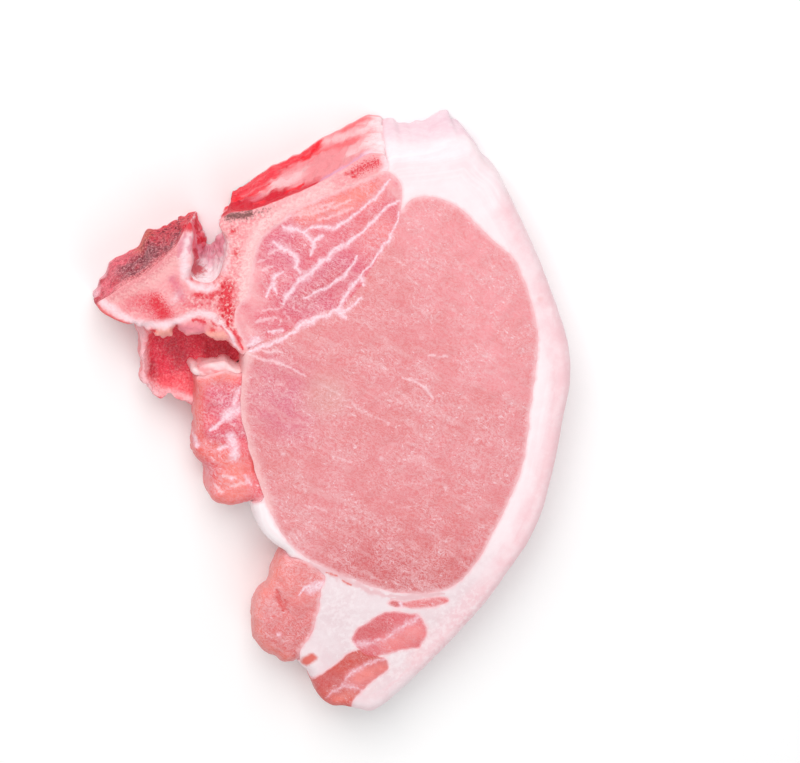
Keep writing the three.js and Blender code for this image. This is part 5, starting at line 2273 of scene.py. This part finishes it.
@dataclass(frozen=True)
class Lamp:
    """A square soft lamp that faces the steak.

    Attributes:
        name: Name of the lamp.
        place: Where it is, in metres.
        size: Length of its side, in metres.
        power: Its power, in watts.
    """

    name: str
    place: Point
    size: float
    power: float

    def build(self) -> None:
        """Make the lamp."""
        data = bpy.data.lights.new(self.name, "AREA")
        data.size = self.size
        data.energy = self.power
        made = bpy.data.objects.new(self.name, data)
        made.location = self.place
        made.rotation_euler = (-Vector(self.place)).to_track_quat("-Z", "Y").to_euler()
        bpy.context.scene.collection.objects.link(made)


@dataclass
class Stage:
    """Floor, lights and camera.

    Attributes:
        target: Point on the cut face that the middle of the picture shows, in plan millimetres.
        distance: From the camera to that point, in millimetres.
        tilt: Of the camera from straight above.
        toward: Plan direction in which it is tilted.
        view_width: Width of the picture at the target, in millimetres.
        lamps: The soft lamps.
    """

    target: Point = (16.0, 10.0, THICKNESS)
    distance: float = 900.0
    tilt: float = math.radians(17.0)
    toward: Point = (-0.40, 0.92)
    view_width: float = 195.2
    lamps: tuple[Lamp, ...] = (
        Lamp("key", (-0.2, 0.7, 0.95), 0.8, 9.2),
        Lamp("fill", (0.3, -0.6, 1.0), 0.9, 2.6),
    )

    NEAR_CLIP = 0.01
    FLOOR_HALF, FLOOR_DROP = 3.0, 0.0003
    FLOOR_COLOUR, FLOOR_ROUGHNESS = (0.98, 0.98, 0.98, 1.0), 0.9
    SKY_COLOUR, SKY_STRENGTH = (1.0, 1.0, 1.0, 1.0), 0.5
    CORNERS = ((-1, -1), (1, -1), (1, 1), (-1, 1))

    def build(self) -> None:
        """Make the stage."""
        self.floor()
        self.sky()
        for lamp in self.lamps:
            lamp.build()
        self.camera()
        view = bpy.context.scene.view_settings
        view.view_transform = "Standard"
        view.look = "None"

    def floor(self) -> None:
        """Make the plain pale floor."""
        mesh = bpy.data.meshes.new("floor")
        corners = [(x * self.FLOOR_HALF, y * self.FLOOR_HALF, 0) for x, y in self.CORNERS]
        mesh.from_pydata(corners, [], [(0, 1, 2, 3)])
        paint = bpy.data.materials.new("floor_white")
        paint.use_nodes = True
        shader = paint.node_tree.nodes["Principled BSDF"]
        shader.inputs["Base Color"].default_value = self.FLOOR_COLOUR
        shader.inputs["Roughness"].default_value = self.FLOOR_ROUGHNESS
        mesh.materials.append(paint)
        made = bpy.data.objects.new("floor", mesh)
        made.location.z = -self.FLOOR_DROP
        bpy.context.scene.collection.objects.link(made)

    def sky(self) -> None:
        """Make the light from all round."""
        world = bpy.data.worlds.new("studio")
        world.use_nodes = True
        sky = world.node_tree.nodes["Background"]
        sky.inputs["Color"].default_value = self.SKY_COLOUR
        sky.inputs["Strength"].default_value = self.SKY_STRENGTH
        bpy.context.scene.world = world

    def camera(self) -> None:
        """Make the camera at the photograph's angle."""
        across = np.array(self.toward) / np.linalg.norm(self.toward)
        back = Vector((*(across * math.sin(self.tilt)), math.cos(self.tilt)))
        right = (-back).cross(Vector((0.0, 1.0, 0.0))).normalized()
        up = back.cross(right)
        target = Vector((*(np.array(self.target[:2]) + PLAN_SHIFT), self.target[2]))
        data = bpy.data.cameras.new("camera")
        data.lens = data.sensor_width * self.distance / self.view_width
        data.clip_start = self.NEAR_CLIP
        made = bpy.data.objects.new("camera", data)
        turn = Matrix((right, up, back)).transposed()
        made.matrix_world = Matrix.Translation((target + back * self.distance) * MM) @ turn.to_4x4()
        bpy.context.scene.collection.objects.link(made)
        bpy.context.scene.camera = made


def main() -> None:
    """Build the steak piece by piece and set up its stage."""
    logging.basicConfig(level=logging.INFO, format="%(message)s")
    eye, chine, sawn, broken = LoinEye(), ChineMuscle(), SawnBone(), BrokenBone()
    flap, tenderloin, lobe = FatFlap(), Tenderloin(), FlankLobe()
    upper, lower, sliver, rim = BellyStripUpper(), BellyStripLower(), BellySliver(), FatRim()
    order = (eye, chine, flap, tenderloin, sawn, broken, lobe, upper, lower, sliver, rim)
    plan = Plan(order, {order.index(lower): rim})
    log.info("plan: %d points, %d triangles", len(plan.places), len(plan.corners))

    pieces = (
        Piece("steak_eye", "loin_eye", (eye,), EYE_LEAN),
        Piece("steak_chine", "chine_muscle", (chine,), CHINE_LEAN),
        Piece("steak_bone", "vertebra", (sawn, broken), BONE),
        Piece("steak_tenderloin", "tenderloin", (tenderloin,), TENDERLOIN_LEAN),
        Piece("steak_flap", "fat_flap", (flap,), FLAP_FAT),
        Piece("steak_lobe", "flank_lobe", (lobe,), LOBE_LEAN),
        Piece("steak_strip_upper", "belly_strip_upper", (upper,), STRIP_LEAN),
        Piece("steak_strip_lower", "belly_strip_lower", (lower,), STRIP_END_LEAN),
        Piece("steak_sliver", "belly_sliver", (sliver,), SLIVER_LEAN),
        Piece("steak_fat", "fat", (rim,), RIM_FAT),
    )
    for piece in pieces:
        piece.build(plan)

    Stage().build()


if __name__ == "__main__":
    main()
